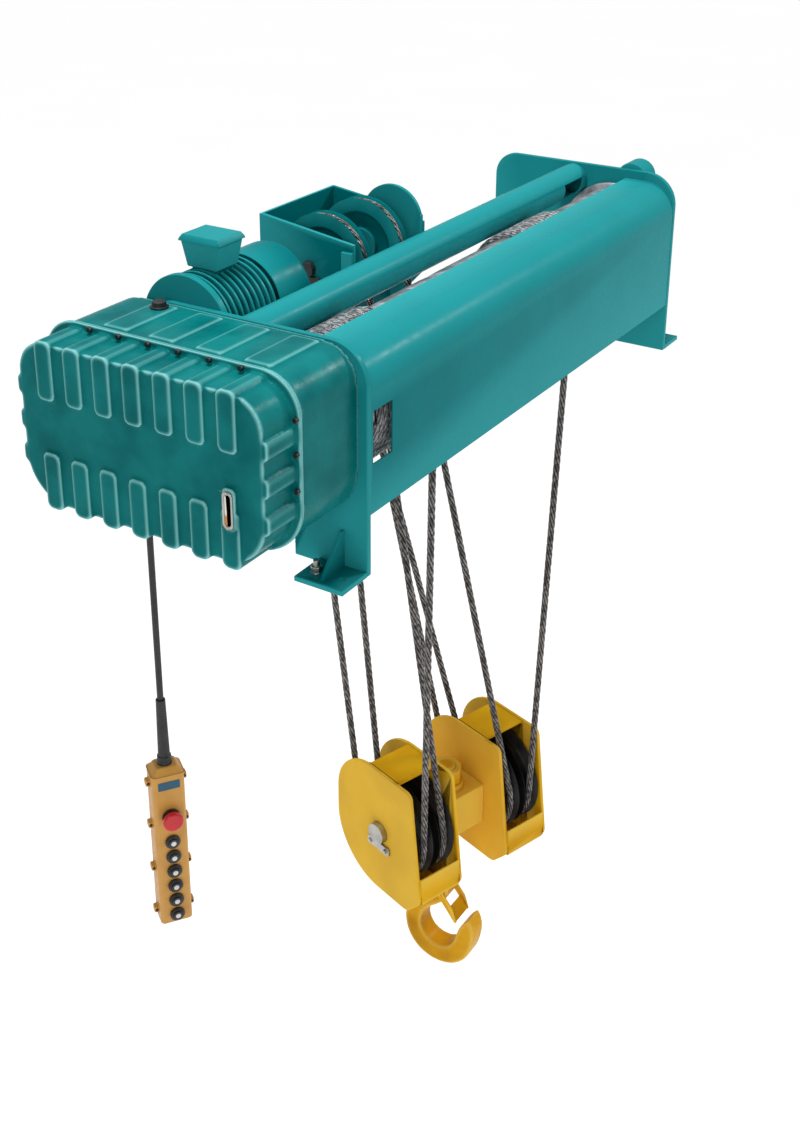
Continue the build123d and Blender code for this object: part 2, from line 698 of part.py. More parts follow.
def motor_turning():
    """Motor shaft with its pinion, the rotor and the brake disc."""
    with BuildPart() as shaft:
        for x0, x1, r in ((STAGE_1 - 12, NEAR - 10, 22.0), (NEAR - 10, NEAR + 400, 19.0)):
            with BuildSketch(along_x(x0)):
                with Locations((MOTOR_Y, MOTOR_Z)):
                    Circle(r)
            extrude(amount=x1 - x0)
        turn = PHI_LAY_MOTOR + pi + pi / TEETH_MOTOR
        with BuildSketch(Plane(origin=(STAGE_1 - 4, MOTOR_Y, MOTOR_Z), x_dir=(0, 1, 0), z_dir=(1, 0, 0))):
            with BuildLine():
                Polyline(*gear_outline(TEETH_MOTOR, MODULE_1, turn), close=True)
            make_face()
        extrude(amount=STAGE_1_FACE + 8)
    keep(shaft, "motor_shaft")
    with BuildPart() as rotor:
        with BuildSketch(along_x(ROTOR_X0)):
            with Locations((MOTOR_Y, MOTOR_Z)):
                Circle(74)
                Circle(19, mode=Mode.SUBTRACT)
        extrude(amount=ROTOR_LEN)
    keep(rotor, "motor_rotor")
    with BuildPart() as disc:
        with BuildSketch(along_x(NEAR + 345)):
            with Locations((MOTOR_Y, MOTOR_Z)):
                Circle(100)
                Circle(19, mode=Mode.SUBTRACT)
        extrude(amount=14)
    keep(disc, "brake_disc")


STATOR_R = 128.0
FIN_R = 150.0
COWL_R = 152.0


def motor_fixed():
    """Finned housing, flange, stator, brake cowl, terminal box and lid."""
    x0 = NEAR + 44.0
    x1 = NEAR + 292.0
    with BuildPart() as housing:
        with BuildSketch(along_x(x0)):
            with Locations((MOTOR_Y, MOTOR_Z)):
                Circle(STATOR_R)
                Circle(STATOR_R - 9, mode=Mode.SUBTRACT)
        extrude(amount=x1 - x0)
        for k in range(9):
            with BuildSketch(along_x(x0 + 14 + k * 26)):
                with Locations((MOTOR_Y, MOTOR_Z)):
                    Circle(FIN_R)
                    Circle(STATOR_R - 2, mode=Mode.SUBTRACT)
            extrude(amount=9)
        with BuildSketch(Plane.XY.offset(MOTOR_Z + STATOR_R - 8)):
            with Locations((NEAR + 160, MOTOR_Y)):
                Rectangle(90, 84)
        extrude(amount=32)
        with BuildSketch(along_x(x1 - 12)):
            with Locations((MOTOR_Y, MOTOR_Z)):
                Circle(STATOR_R)
                Circle(24, mode=Mode.SUBTRACT)
        extrude(amount=12)
    keep(housing, "motor_housing")
    with BuildPart() as flange:
        with BuildSketch(along_x(NEAR + PLATE_THICK)):
            with Locations((MOTOR_Y, MOTOR_Z)):
                Circle(158)
                Circle(24, mode=Mode.SUBTRACT)
        extrude(amount=24)
        with BuildSketch(along_x(NEAR + PLATE_THICK + 24)):
            with Locations((MOTOR_Y, MOTOR_Z)):
                with PolarLocations(143, 8, start_angle=22.5):
                    RegularPolygon(9, 6)
        extrude(amount=8)
    keep(flange, "motor_flange")
    with BuildPart() as stator:
        with BuildSketch(along_x(ROTOR_X0)):
            with Locations((MOTOR_Y, MOTOR_Z)):
                Circle(STATOR_R - 9)
                Circle(75, mode=Mode.SUBTRACT)
        extrude(amount=ROTOR_LEN)
    keep(stator, "motor_stator")
    with BuildPart() as cowl:
        with BuildSketch(along_x(x1)):
            with Locations((MOTOR_Y, MOTOR_Z)):
                Circle(COWL_R)
        extrude(amount=172)
        fillet(cowl.edges().sort_by(Axis.X)[-1], 26)
        with BuildSketch(along_x(x1)):
            with Locations((MOTOR_Y, MOTOR_Z)):
                Circle(COWL_R - 6)
        extrude(amount=140, mode=Mode.SUBTRACT)
    keep(cowl, "brake_cowl")
    base = MOTOR_Z + STATOR_R + 24
    with BuildPart() as box:
        with BuildSketch(Plane.XY.offset(base)):
            with Locations((NEAR + 160, MOTOR_Y)):
                Rectangle(104, 110)
        with BuildSketch(Plane.XY.offset(base + 80)):
            with Locations((NEAR + 160, MOTOR_Y)):
                Rectangle(120, 140)
        loft()
    keep(box, "terminal_box")
    with BuildPart() as lid:
        with BuildSketch(Plane.XY.offset(base + 80)):
            with Locations((NEAR + 160, MOTOR_Y)):
                RectangleRounded(136, 156, 8)
        extrude(amount=20, taper=30)
    keep(lid, "terminal_box_lid")


# ---------------------------------------------------------------- drum and rope
def drum():
    """Barrel with end flanges and webs, its shaft, and the clamps that hold the rope ends."""
    x0 = NEAR + DRUM_END
    x1 = FAR - DRUM_END
    with BuildPart() as shell:
        with BuildSketch(along_x(x0)):
            with Locations(DRUM_C):
                Circle(DRUM_R)
                Circle(DRUM_R - 16, mode=Mode.SUBTRACT)
        extrude(amount=x1 - x0)
        for x in (x0 - 10, x1 - 10):
            with BuildSketch(along_x(x)):
                with Locations(DRUM_C):
                    Circle(DRUM_R + 24)
                    Circle(40, mode=Mode.SUBTRACT)
            extrude(amount=20)
    keep(shell, "drum_shell")
    with BuildPart() as shaft:
        with BuildSketch(along_x(NEAR - 160)):
            with Locations(DRUM_C):
                Circle(40)
        extrude(amount=PLATE_SPAN + 160 + 80)
    keep(shaft, "drum_shaft")
    with BuildPart() as clamps:
        for x in (LEAD_LEFT - WIND_TURNS * WIND_PITCH - 14, LEAD_RIGHT + WIND_TURNS * WIND_PITCH + 14):
            with BuildSketch(along_x(x - 20)):
                with Locations(DRUM_C):
                    Circle(DRUM_R + 18)
                    Circle(DRUM_R, mode=Mode.SUBTRACT)
                    with Locations((0, 150)):
                        Rectangle(80, 150, mode=Mode.INTERSECT)
            extrude(amount=40)
    keep(clamps, "rope_clamps")


def wound_rope(lefthand):
    """Rope wound up the Z axis, starting on the +X side, before it is laid on the drum."""
    with BuildPart() as rope:
        with BuildLine() as line:
            Helix(pitch=WIND_PITCH, height=WIND_PITCH * WIND_TURNS, radius=DRUM_PITCH_R, lefthand=lefthand)
        with BuildSketch(Plane(origin=line.line @ 0, z_dir=line.line % 0)):
            Circle(ROPE_D / 2 - 0.2)
        sweep(path=line.line, is_frenet=True)
    return rope.part


def windings():
    """Both windings, each running from its lead point toward its own end of the drum."""
    leave = (0, (DRUM_TAN[0] - DRUM_Y) / DRUM_PITCH_R, (DRUM_TAN[1] - DRUM_Z) / DRUM_PITCH_R)
    with BuildPart() as part:
        for lead, way in ((LEAD_LEFT, -1), (LEAD_RIGHT, 1)):
            place = Plane(origin=(lead, DRUM_Y, DRUM_Z), x_dir=leave, z_dir=(way, 0, 0))
            add(wound_rope(way > 0).moved(place.location))
    keep(part, "rope_windings")


def rope_falls():
    """Eight straight falls in three groups, by what holds their upper ends."""
    with BuildPart() as from_drum:
        for x_top, x_low in ((LEAD_LEFT, LOWER_X[0]), (LEAD_RIGHT, LOWER_X[3])):
            section, length = disc_at((x_top, *DRUM_TAN), block_point(x_low, *BLOCK_FROM_DRUM), ROPE_D / 2)
            extrude(section, amount=length)
    keep(from_drum, "drum_rope_falls")
    with BuildPart() as from_upper:
        for n, outer, inner in ((0, 0, 1), (1, 3, 2)):
            foot = block_point(LOWER_X[outer], *BLOCK_BACK)
            section, length = disc_at((UPPER_X[n], *UPPER_BACK), foot, ROPE_D / 2)
            extrude(section, amount=length)
            foot = block_point(LOWER_X[inner], *BLOCK_FRONT)
            section, length = disc_at((UPPER_X[n], *UPPER_FRONT), foot, ROPE_D / 2)
            extrude(section, amount=length)
    keep(from_upper, "upper_rope_falls")
    with BuildPart() as dead:
        for x_top, x_low in ((FRAME_MID - ROCKER_HALF, LOWER_X[1]), (FRAME_MID + ROCKER_HALF, LOWER_X[2])):
            foot = block_point(x_low, *BLOCK_DEAD)
            section, length = disc_at((x_top, ROCKER_Y, ROCKER_Z - ROCKER_TALL / 2), foot, ROPE_D / 2)
            extrude(section, amount=length)
    keep(dead, "dead_end_rope_falls")


def rope_on_sheaves():
    """Rope over the upper sheaves and under the lower ones, between the touching points of the falls."""
    with BuildPart() as over:
        first = angle_of(UPPER_BACK, UPPER_C)
        last = angle_of(UPPER_FRONT, UPPER_C) % 360
        for x in UPPER_X:
            section = arc_section(x, UPPER_C, UPPER_R, first)
            revolve(section, axis=x_axis_at(UPPER_C), revolution_arc=last - first)
    keep(over, "upper_rope_wraps")
    with BuildPart() as under:
        for xs, start, finish in (((LOWER_X[0], LOWER_X[3]), BLOCK_FROM_DRUM, BLOCK_BACK),
                                  ((LOWER_X[1], LOWER_X[2]), BLOCK_FRONT, BLOCK_DEAD)):
            first = angle_of(start, BLOCK_C) % 360
            last = angle_of(finish, BLOCK_C) + 360
            for x in xs:
                section = arc_section(x, BLOCK_C, LOWER_R, first)
                revolve(section, axis=x_axis_at(BLOCK_C), revolution_arc=last - first)
    keep_turned(under, "lower_rope_wraps")


# ---------------------------------------------------------------- hook block
BLOCK_RIM = 196.0
BLOCK_SHEAVE_HALF = 34.0
GROOVE_FLARE = 5.0
PIN_R = 40.0
HOUSE_TOP = BLOCK_Z + 258.0
HOUSE_LOW = BLOCK_Z - 262.0
HOUSE_BACK = BLOCK_Y + 248.0
HOUSE_FRONT = BLOCK_Y - 224.0


def side_plate(x):
    """Outline of a housing side plate: round at the back and below, with a slanting front edge."""
    with BuildSketch(along_x(x)) as outline:
        with BuildLine():
            FilletPolyline((HOUSE_FRONT + 58, HOUSE_TOP), (HOUSE_FRONT, HOUSE_LOW + 75),
                           (HOUSE_FRONT + 70, HOUSE_LOW), (HOUSE_BACK, HOUSE_LOW), (HOUSE_BACK, HOUSE_TOP),
                           radius=[30, 45, 45, 235, 190], close=True)
        make_face()
        with Locations(BLOCK_C):
            Circle(PIN_R, mode=Mode.SUBTRACT)
    return outline.sketch


def one_housing(mid):
    """Two side plates joined by a top strap, a bottom plate, a lower front plate and a back plate."""
    inner = 2 * (HOUSING_HALF - HOUSING_T)
    with BuildPart() as part:
        for x in (mid - HOUSING_HALF, mid + HOUSING_HALF - HOUSING_T):
            extrude(side_plate(x), amount=HOUSING_T)
        for low, y, wide in ((HOUSE_TOP - HOUSING_T, BLOCK_Y - 5, 160), (HOUSE_LOW + 2, BLOCK_Y - 55, 180)):
            with BuildSketch(Plane.XY.offset(low)):
                with Locations((mid, y)):
                    Rectangle(inner, wide)
            extrude(amount=12)
        for y, z, tall in ((BLOCK_Y - 220, BLOCK_Z - 145, 110), (BLOCK_Y + 208, BLOCK_Z - 45, 150)):
            with BuildSketch(Plane.XZ.offset(-y)):
                with Locations((mid, z)):
                    Rectangle(inner, tall)
            extrude(amount=-10)
    return part.part


def sheave_housings():
    """The near and far housings of the hook block, one either side of the crosshead."""
    with BuildPart() as part:
        for side in (-1, 1):
            add(one_housing(BLOCK_X + side * HOUSING_OFF))
    keep_turned(part, "sheave_housings")


def block_sheaves(xs, label):
    with BuildPart() as part:
        for x in xs:
            section = sheave_profile(x, BLOCK_C, LOWER_R, BLOCK_RIM, PIN_R + 0.05,
                                     BLOCK_SHEAVE_HALF, GROOVE_FLARE)
            revolve(section, axis=x_axis_at(BLOCK_C))
    keep_turned(part, label)


def block_pins():
    """A pin through each sheave housing, with a boss ring and a keeper plate held by two bolts."""
    with BuildPart() as part:
        for side in (-1, 1):
            mid = BLOCK_X + side * HOUSING_OFF
            outer = mid + side * (HOUSING_HALF + 22)
            inner = mid - side * HOUSING_HALF
            with BuildSketch(along_x(min(outer, inner))):
                with Locations(BLOCK_C):
                    Circle(PIN_R - 0.01)
            extrude(amount=abs(outer - inner))
            face = mid + side * HOUSING_HALF
            with BuildSketch(along_x(face if side > 0 else face - 9)):
                with Locations((BLOCK_Y, BLOCK_Z - PIN_R - 19)):
                    RectangleRounded(120, 34, 8)
            extrude(amount=9)
            with BuildSketch(along_x(face + 9 if side > 0 else face - 17)):
                with Locations((BLOCK_Y - 42, BLOCK_Z - PIN_R - 19), (BLOCK_Y + 42, BLOCK_Z - PIN_R - 19)):
                    RegularPolygon(10, 6)
            extrude(amount=8)
    keep_turned(part, "block_pins")


SHANK_R = 38.0
CROSS_LOW = BLOCK_Z - 110.0
CROSS_TOP = BLOCK_Z + 60.0
CROSS_HALF = HOUSING_OFF - HOUSING_HALF


def crosshead():
    """Box forging between the housings with an upright bore for the hook shank."""
    with BuildPart() as part:
        with BuildSketch(Plane.XY.offset(CROSS_LOW)):
            with Locations((BLOCK_X, BLOCK_Y)):
                Rectangle(2 * CROSS_HALF, 190)
                Circle(SHANK_R + 0.06, mode=Mode.SUBTRACT)
        extrude(amount=CROSS_TOP - CROSS_LOW)
    keep_turned(part, "crosshead")
    with BuildPart() as nut:
        with BuildSketch(Plane.XY.offset(CROSS_TOP + 0.3)):
            with Locations((BLOCK_X, BLOCK_Y)):
                Circle(66)
                Circle(SHANK_R, mode=Mode.SUBTRACT)
        extrude(amount=25.7)
        with BuildSketch(Plane.XY.offset(CROSS_TOP + 26)):
            with Locations((BLOCK_X, BLOCK_Y)):
                RegularPolygon(60, 8)
                Circle(SHANK_R, mode=Mode.SUBTRACT)
        extrude(amount=58)
    keep(nut, "hook_nut_and_bearing")


# Outline of the hook, outside and inside, from its middle: toward the front and up.
HOOK_OUT = [(-40, 252), (-46, 214), (-84, 150), (-128, 82), (-146, 8), (-132, -72), (-82, -134),
            (-6, -158), (74, -138), (128, -84), (152, -12), (156, 50), (136, 104)]
HOOK_IN = [(136, 104), (108, 70), (86, 22), (72, -26), (40, -66), (-4, -78), (-48, -62),
           (-74, -22), (-72, 34), (-44, 82), (-6, 116), (28, 152), (44, 206), (40, 252)]
HOOK_HALF = 44.0


LATCH_Y = BLOCK_Y - 12.0
LATCH_Z = HOOK_Z + 184.0
LATCH_TIP = (BLOCK_Y - 95.0, HOOK_Z + 76.0)


def hook():
    """Point hook with its opening toward the front, a round shank and a bored lug for the latch."""
    with BuildPart() as part:
        side = Plane(origin=(BLOCK_X - HOOK_HALF, BLOCK_Y, HOOK_Z), x_dir=(0, -1, 0), z_dir=(-1, 0, 0))
        with BuildSketch(side):
            with BuildLine():
                Spline(*HOOK_OUT)
                Spline(*HOOK_IN)
                Line(HOOK_IN[-1], HOOK_OUT[0])
            make_face()
            with Locations((BLOCK_Y - LATCH_Y, LATCH_Z - HOOK_Z)):
                Circle(7.05, mode=Mode.SUBTRACT)
        extrude(amount=-2 * HOOK_HALF)
        with BuildSketch(Plane.XY.offset(HOOK_Z + 225)):
            with Locations((BLOCK_X, BLOCK_Y)):
                Circle(62)
        extrude(amount=50)
        with BuildSketch(Plane.XY.offset(HOOK_Z + 240)):
            with Locations((BLOCK_X, BLOCK_Y)):
                Circle(SHANK_R)
        extrude(amount=CROSS_TOP + 90 - HOOK_Z - 240)
    keep(part, "hook")


def latch():
    """Bent plate that closes the hook mouth, with two ears on a pin."""
    dy = LATCH_TIP[0] - LATCH_Y
    dz = LATCH_TIP[1] - LATCH_Z
    length = hypot(dy, dz)
    plane_x = (0, dy / length, dz / length)
    with BuildPart() as part:
        for x in (BLOCK_X - HOOK_HALF - 7, BLOCK_X + HOOK_HALF + 1):
            with BuildSketch(Plane(origin=(x, LATCH_Y, LATCH_Z), x_dir=plane_x, z_dir=(1, 0, 0))):
                with BuildLine():
                    Polyline((-16, -14), (length * 0.55, -16), (length - 6, 4), (length - 6, 12),
                             (length * 0.5, 12), (-16, 14), close=True)
                make_face()
            extrude(amount=6)
        edge = Plane(origin=(BLOCK_X - HOOK_HALF - 7, LATCH_Y, LATCH_Z), x_dir=plane_x, z_dir=(1, 0, 0))
        with BuildSketch(edge):
            with Locations((length * 0.72, -6.0 + 12)):
                Rectangle(length * 0.42, 6)
        extrude(amount=2 * HOOK_HALF + 14)
        with BuildSketch(along_x(BLOCK_X - HOOK_HALF - 14)):
            with Locations((LATCH_Y, LATCH_Z)):
                Circle(7.0)
        extrude(amount=2 * HOOK_HALF + 28)
    keep(part, "hook_latch")


# ---------------------------------------------------------------- pendant
TURN = radians(PEND_TURN)
FACE_RIGHT = (cos(TURN), -sin(TURN), 0.0)
FACE_OUT = (-sin(TURN), -cos(TURN), 0.0)


def pend_level(z):
    return Plane(origin=(PEND_X, PEND_Y, z), x_dir=FACE_RIGHT, z_dir=(0, 0, 1))


def face_plane(z, out):
    reach = PEND_D / 2 + out
    spot = (PEND_X + FACE_OUT[0] * reach, PEND_Y + FACE_OUT[1] * reach, z)
    return Plane(origin=spot, x_dir=FACE_RIGHT, z_dir=FACE_OUT)


def pendant_cable():
    """Cable hanging straight from the gland into the sleeve."""
    with BuildPart() as part:
        with BuildSketch(Plane.XY.offset(CABLE_LOW - SLEEVE_GRIP)):
            with Locations((PEND_X, PEND_Y)):
                Circle(CABLE_D / 2)
        extrude(amount=CABLE_TOP + CABLE_INTO + SLEEVE_GRIP - CABLE_LOW)
    print("pendant cable length", CABLE_TOP + CABLE_INTO + SLEEVE_GRIP - CABLE_LOW)
    keep(part, "pendant_cable")


def pendant():
    """Sleeve, case with side lugs, label plate, collars, emergency stop and six push buttons."""
    with BuildPart() as sleeve:
        with BuildSketch(pend_level(CASE_TOP)):
            Circle(24)
        with BuildSketch(pend_level(SLEEVE_LOW - 10)):
            Circle(22)
        loft()
        with BuildSketch(pend_level(SLEEVE_LOW - 10)):
            Circle(19)
        with BuildSketch(pend_level(CABLE_LOW)):
            Circle(15)
        loft()
        with BuildSketch(pend_level(CABLE_LOW - SLEEVE_GRIP)):
            Circle(CABLE_D / 2 + 0.05)
        extrude(amount=10, mode=Mode.SUBTRACT)
    keep(sleeve, "pendant_sleeve")
    with BuildPart() as case:
        with BuildSketch(pend_level(CASE_LOW)):
            RectangleRounded(PEND_W, PEND_D, 14)
        extrude(amount=CASE_TOP - 22 - CASE_LOW)
        with BuildSketch(pend_level(CASE_TOP - 22)):
            RectangleRounded(PEND_W - 4, PEND_D - 4, 13)
        with BuildSketch(pend_level(CASE_TOP)):
            RectangleRounded(PEND_W - 38, PEND_D - 26, 10)
        loft()
        for z in (CASE_LOW + 40, CASE_LOW + 210, CASE_LOW + 380, CASE_LOW + 540):
            with BuildSketch(pend_level(z - 11)):
                with Locations((-PEND_W / 2 - 5, 2), (PEND_W / 2 + 5, 2)):
                    RectangleRounded(18, 26, 5)
            extrude(amount=22)
        for k in range(6):
            with BuildSketch(face_plane(BUTTON_FIRST - k * BUTTON_PITCH, -16)):
                Circle(15.5)
            extrude(amount=20, mode=Mode.SUBTRACT)
        with BuildSketch(face_plane(ESTOP_Z, -16)):
            Circle(15.5)
        extrude(amount=20, mode=Mode.SUBTRACT)
    keep(case, "pendant_case")
    with BuildPart() as label:
        with BuildSketch(face_plane(LABEL_Z, 0)):
            RectangleRounded(70, 30, 4)
        extrude(amount=1.2)
    keep(label, "pendant_label")
    with BuildPart() as collars:
        for k in range(6):
            with BuildSketch(face_plane(BUTTON_FIRST - k * BUTTON_PITCH, 0)):
                Circle(24)
                Circle(15.5, mode=Mode.SUBTRACT)
            extrude(amount=9)
        with BuildSketch(face_plane(ESTOP_Z, 0)):
            Circle(29)
            Circle(15.5, mode=Mode.SUBTRACT)
        extrude(amount=7)
    keep(collars, "button_collars")
    with BuildPart() as stop:
        with BuildSketch(face_plane(ESTOP_Z, -8)):
            Circle(15)
        extrude(amount=26)
        with BuildSketch(face_plane(ESTOP_Z, 18)):
            Circle(33)
        extrude(amount=20)
        fillet(stop.edges().filter_by(GeomType.CIRCLE).sort_by(SortBy.RADIUS)[-2:], 7)
    keep(stop, "emergency_stop")
    for k in range(6):
        with BuildPart() as button:
            with BuildSketch(face_plane(BUTTON_FIRST - k * BUTTON_PITCH, -8)):
                Circle(15)
            extrude(amount=24)
        keep(button, f"button_{k + 1}")


end_plate(NEAR, "near_end_plate")
end_plate(FAR - PLATE_THICK, "far_end_plate")
feet()
foot_studs()
main_beam()
drum_cover()
sheave_frame()
upper_sheaves()
upper_shaft()
rocker()
bearing_housing()
limit_switch_drum()
gear_case()
gear_cover()
bolts_and_gauge()
breather()
cable_gland()
gears()
motor_turning()
motor_fixed()
drum()
windings()
rope_falls()
rope_on_sheaves()
sheave_housings()
block_sheaves((LOWER_X[0], LOWER_X[3]), "outer_block_sheaves")
block_sheaves((LOWER_X[1], LOWER_X[2]), "inner_block_sheaves")
block_pins()
crosshead()
hook()
latch()
pendant_cable()
pendant()
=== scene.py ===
import json
import math
import bmesh
import bpy
from mathutils import Matrix, Vector


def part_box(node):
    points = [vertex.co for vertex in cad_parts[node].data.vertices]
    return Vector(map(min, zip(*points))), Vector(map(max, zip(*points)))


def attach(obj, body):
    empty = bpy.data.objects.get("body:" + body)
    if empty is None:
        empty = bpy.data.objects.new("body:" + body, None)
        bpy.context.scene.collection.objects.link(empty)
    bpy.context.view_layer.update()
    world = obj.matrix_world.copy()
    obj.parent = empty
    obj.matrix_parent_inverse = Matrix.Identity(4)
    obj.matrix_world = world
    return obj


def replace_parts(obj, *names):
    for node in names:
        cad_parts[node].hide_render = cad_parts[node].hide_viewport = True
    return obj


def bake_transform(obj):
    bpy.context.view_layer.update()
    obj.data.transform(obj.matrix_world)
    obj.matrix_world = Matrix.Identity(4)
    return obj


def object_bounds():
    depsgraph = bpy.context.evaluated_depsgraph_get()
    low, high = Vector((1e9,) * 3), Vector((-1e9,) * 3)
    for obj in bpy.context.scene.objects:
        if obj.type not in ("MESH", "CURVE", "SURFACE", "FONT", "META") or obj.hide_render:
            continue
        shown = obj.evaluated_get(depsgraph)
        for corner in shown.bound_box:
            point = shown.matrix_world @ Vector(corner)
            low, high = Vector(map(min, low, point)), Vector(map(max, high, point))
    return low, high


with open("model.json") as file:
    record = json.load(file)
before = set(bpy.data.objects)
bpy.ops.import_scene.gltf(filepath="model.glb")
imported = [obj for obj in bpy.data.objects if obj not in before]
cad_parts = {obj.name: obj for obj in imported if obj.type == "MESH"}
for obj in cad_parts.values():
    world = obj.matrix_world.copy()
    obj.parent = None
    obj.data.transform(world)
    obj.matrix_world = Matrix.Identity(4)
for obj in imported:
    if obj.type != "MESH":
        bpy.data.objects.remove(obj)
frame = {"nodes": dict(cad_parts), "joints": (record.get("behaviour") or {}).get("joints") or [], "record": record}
CAD_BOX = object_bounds()
NODES = frame["nodes"]
JOINTS = {joint["name"]: joint for joint in frame["joints"]}
BODY_OF = {node: body for body, members in frame["record"]["behaviour"]["bodies"].items() for node in members}

# Rope, drum and sheave sizes, in metres. They are the CAD part's, but for the next four.
FALL_R = 0.0122                       # the hanging falls, drawn thicker than the CAD part's rope
ROPE_LAY = 0.180                      # one turn of the strands
ROPE_STEP = 0.0055                    # between two rings of the rope's mesh
STRANDS = 6
ROPE_R = 0.011
DRUM_R = 0.1885
DRUM_PITCH_R = 0.200
WIND_PITCH = 0.025
WIND_TURNS = 13
UPPER_R = 0.150
LOWER_R = 0.180
HOUSING_OFF = 0.215
SHEAVE_OFF = 0.048


# ---------------------------------------------------------------- materials
def node_tree(name):
    material = bpy.data.materials.new(name)
    material.use_nodes = True
    tree = material.node_tree
    return material, tree, tree.nodes["Principled BSDF"]


def add(tree, kind, **inputs):
    """A shader node with some of its inputs set; names that aren't inputs are set as attributes."""
    node = tree.nodes.new(kind)
    for key, value in inputs.items():
        if key in node.inputs:
            node.inputs[key].default_value = value
        else:
            setattr(node, key, value)
    return node


def coordinates(tree):
    return add(tree, "ShaderNodeTexCoord").outputs["Object"]


def noise(tree, scale, detail=3.0, rough=0.5):
    texture = add(tree, "ShaderNodeTexNoise", Scale=scale, Detail=detail, Roughness=rough)
    tree.links.new(coordinates(tree), texture.inputs["Vector"])
    return texture.outputs["Fac"]


def ramp(tree, value, stops):
    """Colour ramp over value; stops are (place, colour)."""
    node = add(tree, "ShaderNodeValToRGB")
    elements = node.color_ramp.elements
    while len(elements) < len(stops):
        elements.new(0.5)
    for element, (place, colour) in zip(elements, stops):
        element.position = place
        element.color = (*colour, 1.0)
    tree.links.new(value, node.inputs["Fac"])
    return node.outputs["Color"]


def grey(level):
    return (level, level, level)


def mix(tree, amount, first, second, blend="MIX"):
    """Mixed colour; first and second are sockets or colours, and amount is a socket or a number."""
    node = add(tree, "ShaderNodeMix", data_type="RGBA", blend_type=blend)
    for socket, value in ((node.inputs[0], amount), (node.inputs[6], first), (node.inputs[7], second)):
        if isinstance(value, bpy.types.NodeSocket):
            tree.links.new(value, socket)
        elif isinstance(value, float):
            socket.default_value = value
        else:
            socket.default_value = (*value, 1.0)
    return node.outputs[2]


def bump(tree, shader, heights):
    """Chain of bumps; heights are (socket, strength, distance in metres)."""
    before = None
    for height, strength, distance in heights:
        node = add(tree, "ShaderNodeBump", Strength=strength, Distance=distance)
        tree.links.new(height, node.inputs["Height"])
        if before is not None:
            tree.links.new(before, node.inputs["Normal"])
        before = node.outputs["Normal"]
    tree.links.new(before, shader.inputs["Normal"])


def enamel(name, colour, light, dark, rough=0.26):
    """Sprayed enamel: cloudy tone, fine orange peel and a painted highlight along convex edges."""
    material, tree, shader = node_tree(name)
    cloud = ramp(tree, noise(tree, 4.0, 3.0), [(0.38, dark), (0.60, colour)])
    # painted highlight: convex edges, by pointiness, take the light colour in place of the lamps' shine on them
    edge_highlight = ramp(tree, add(tree, "ShaderNodeNewGeometry").outputs["Pointiness"],
                [(0.515, grey(0.0)), (0.58, grey(0.9))])
    tree.links.new(mix(tree, edge_highlight, cloud, light), shader.inputs["Base Color"])
    tree.links.new(ramp(tree, noise(tree, 22.0, 5.0), [(0.3, grey(rough - 0.04)), (0.7, grey(rough + 0.08))]),
                   shader.inputs["Roughness"])
    bump(tree, shader, [(noise(tree, 520.0, 1.0), 0.08, 0.0006), (noise(tree, 18.0, 2.0), 0.12, 0.004)])
    shader.inputs["Specular IOR Level"].default_value = 0.02
    return material


def cast_enamel(name, colour, light, dark):
    """Enamel over a sand casting: the grain of the mould shows through, and the convex edges of the ribs carry a
    painted highlight.
    """
    material, tree, shader = node_tree(name)
    cloud = ramp(tree, noise(tree, 6.0, 5.0), [(0.34, dark), (0.60, colour)])
    # painted highlight: the ribs' convex edges, by pointiness, take the light colour in place of white highlights
    edge_highlight = ramp(tree, add(tree, "ShaderNodeNewGeometry").outputs["Pointiness"],
                [(0.503, grey(0.0)), (0.545, grey(0.9))])
    tree.links.new(mix(tree, edge_highlight, cloud, light), shader.inputs["Base Color"])
    tree.links.new(ramp(tree, noise(tree, 30.0, 4.0), [(0.3, grey(0.22)), (0.7, grey(0.34))]),
                   shader.inputs["Roughness"])
    bump(tree, shader, [(noise(tree, 330.0, 3.0), 0.16, 0.0010), (noise(tree, 30.0, 3.0), 0.22, 0.005)])
    shader.inputs["Specular IOR Level"].default_value = 0.04
    return material


def worked_steel(name, colour, rough, turned_about_x=False):
    """Bare steel with fine tool marks and a little oil."""
    material, tree, shader = node_tree(name)
    oil = noise(tree, 18.0, 4.0)
    tree.links.new(ramp(tree, oil, [(0.3, tuple(c * 0.6 for c in colour)), (0.65, colour)]),
                   shader.inputs["Base Color"])
    tree.links.new(ramp(tree, oil, [(0.3, grey(rough - 0.08)), (0.7, grey(rough + 0.1))]),
                   shader.inputs["Roughness"])
    stretch = add(tree, "ShaderNodeMapping")
    stretch.inputs["Scale"].default_value = (900, 12, 12) if turned_about_x else (60, 60, 700)
    tree.links.new(coordinates(tree), stretch.inputs["Vector"])
    marks = add(tree, "ShaderNodeTexNoise", Scale=1.0, Detail=2.0)
    tree.links.new(stretch.outputs["Vector"], marks.inputs["Vector"])
    bump(tree, shader, [(marks.outputs["Fac"], 0.15, 0.0005)])
    shader.inputs["Metallic"].default_value = 1.0
    return material


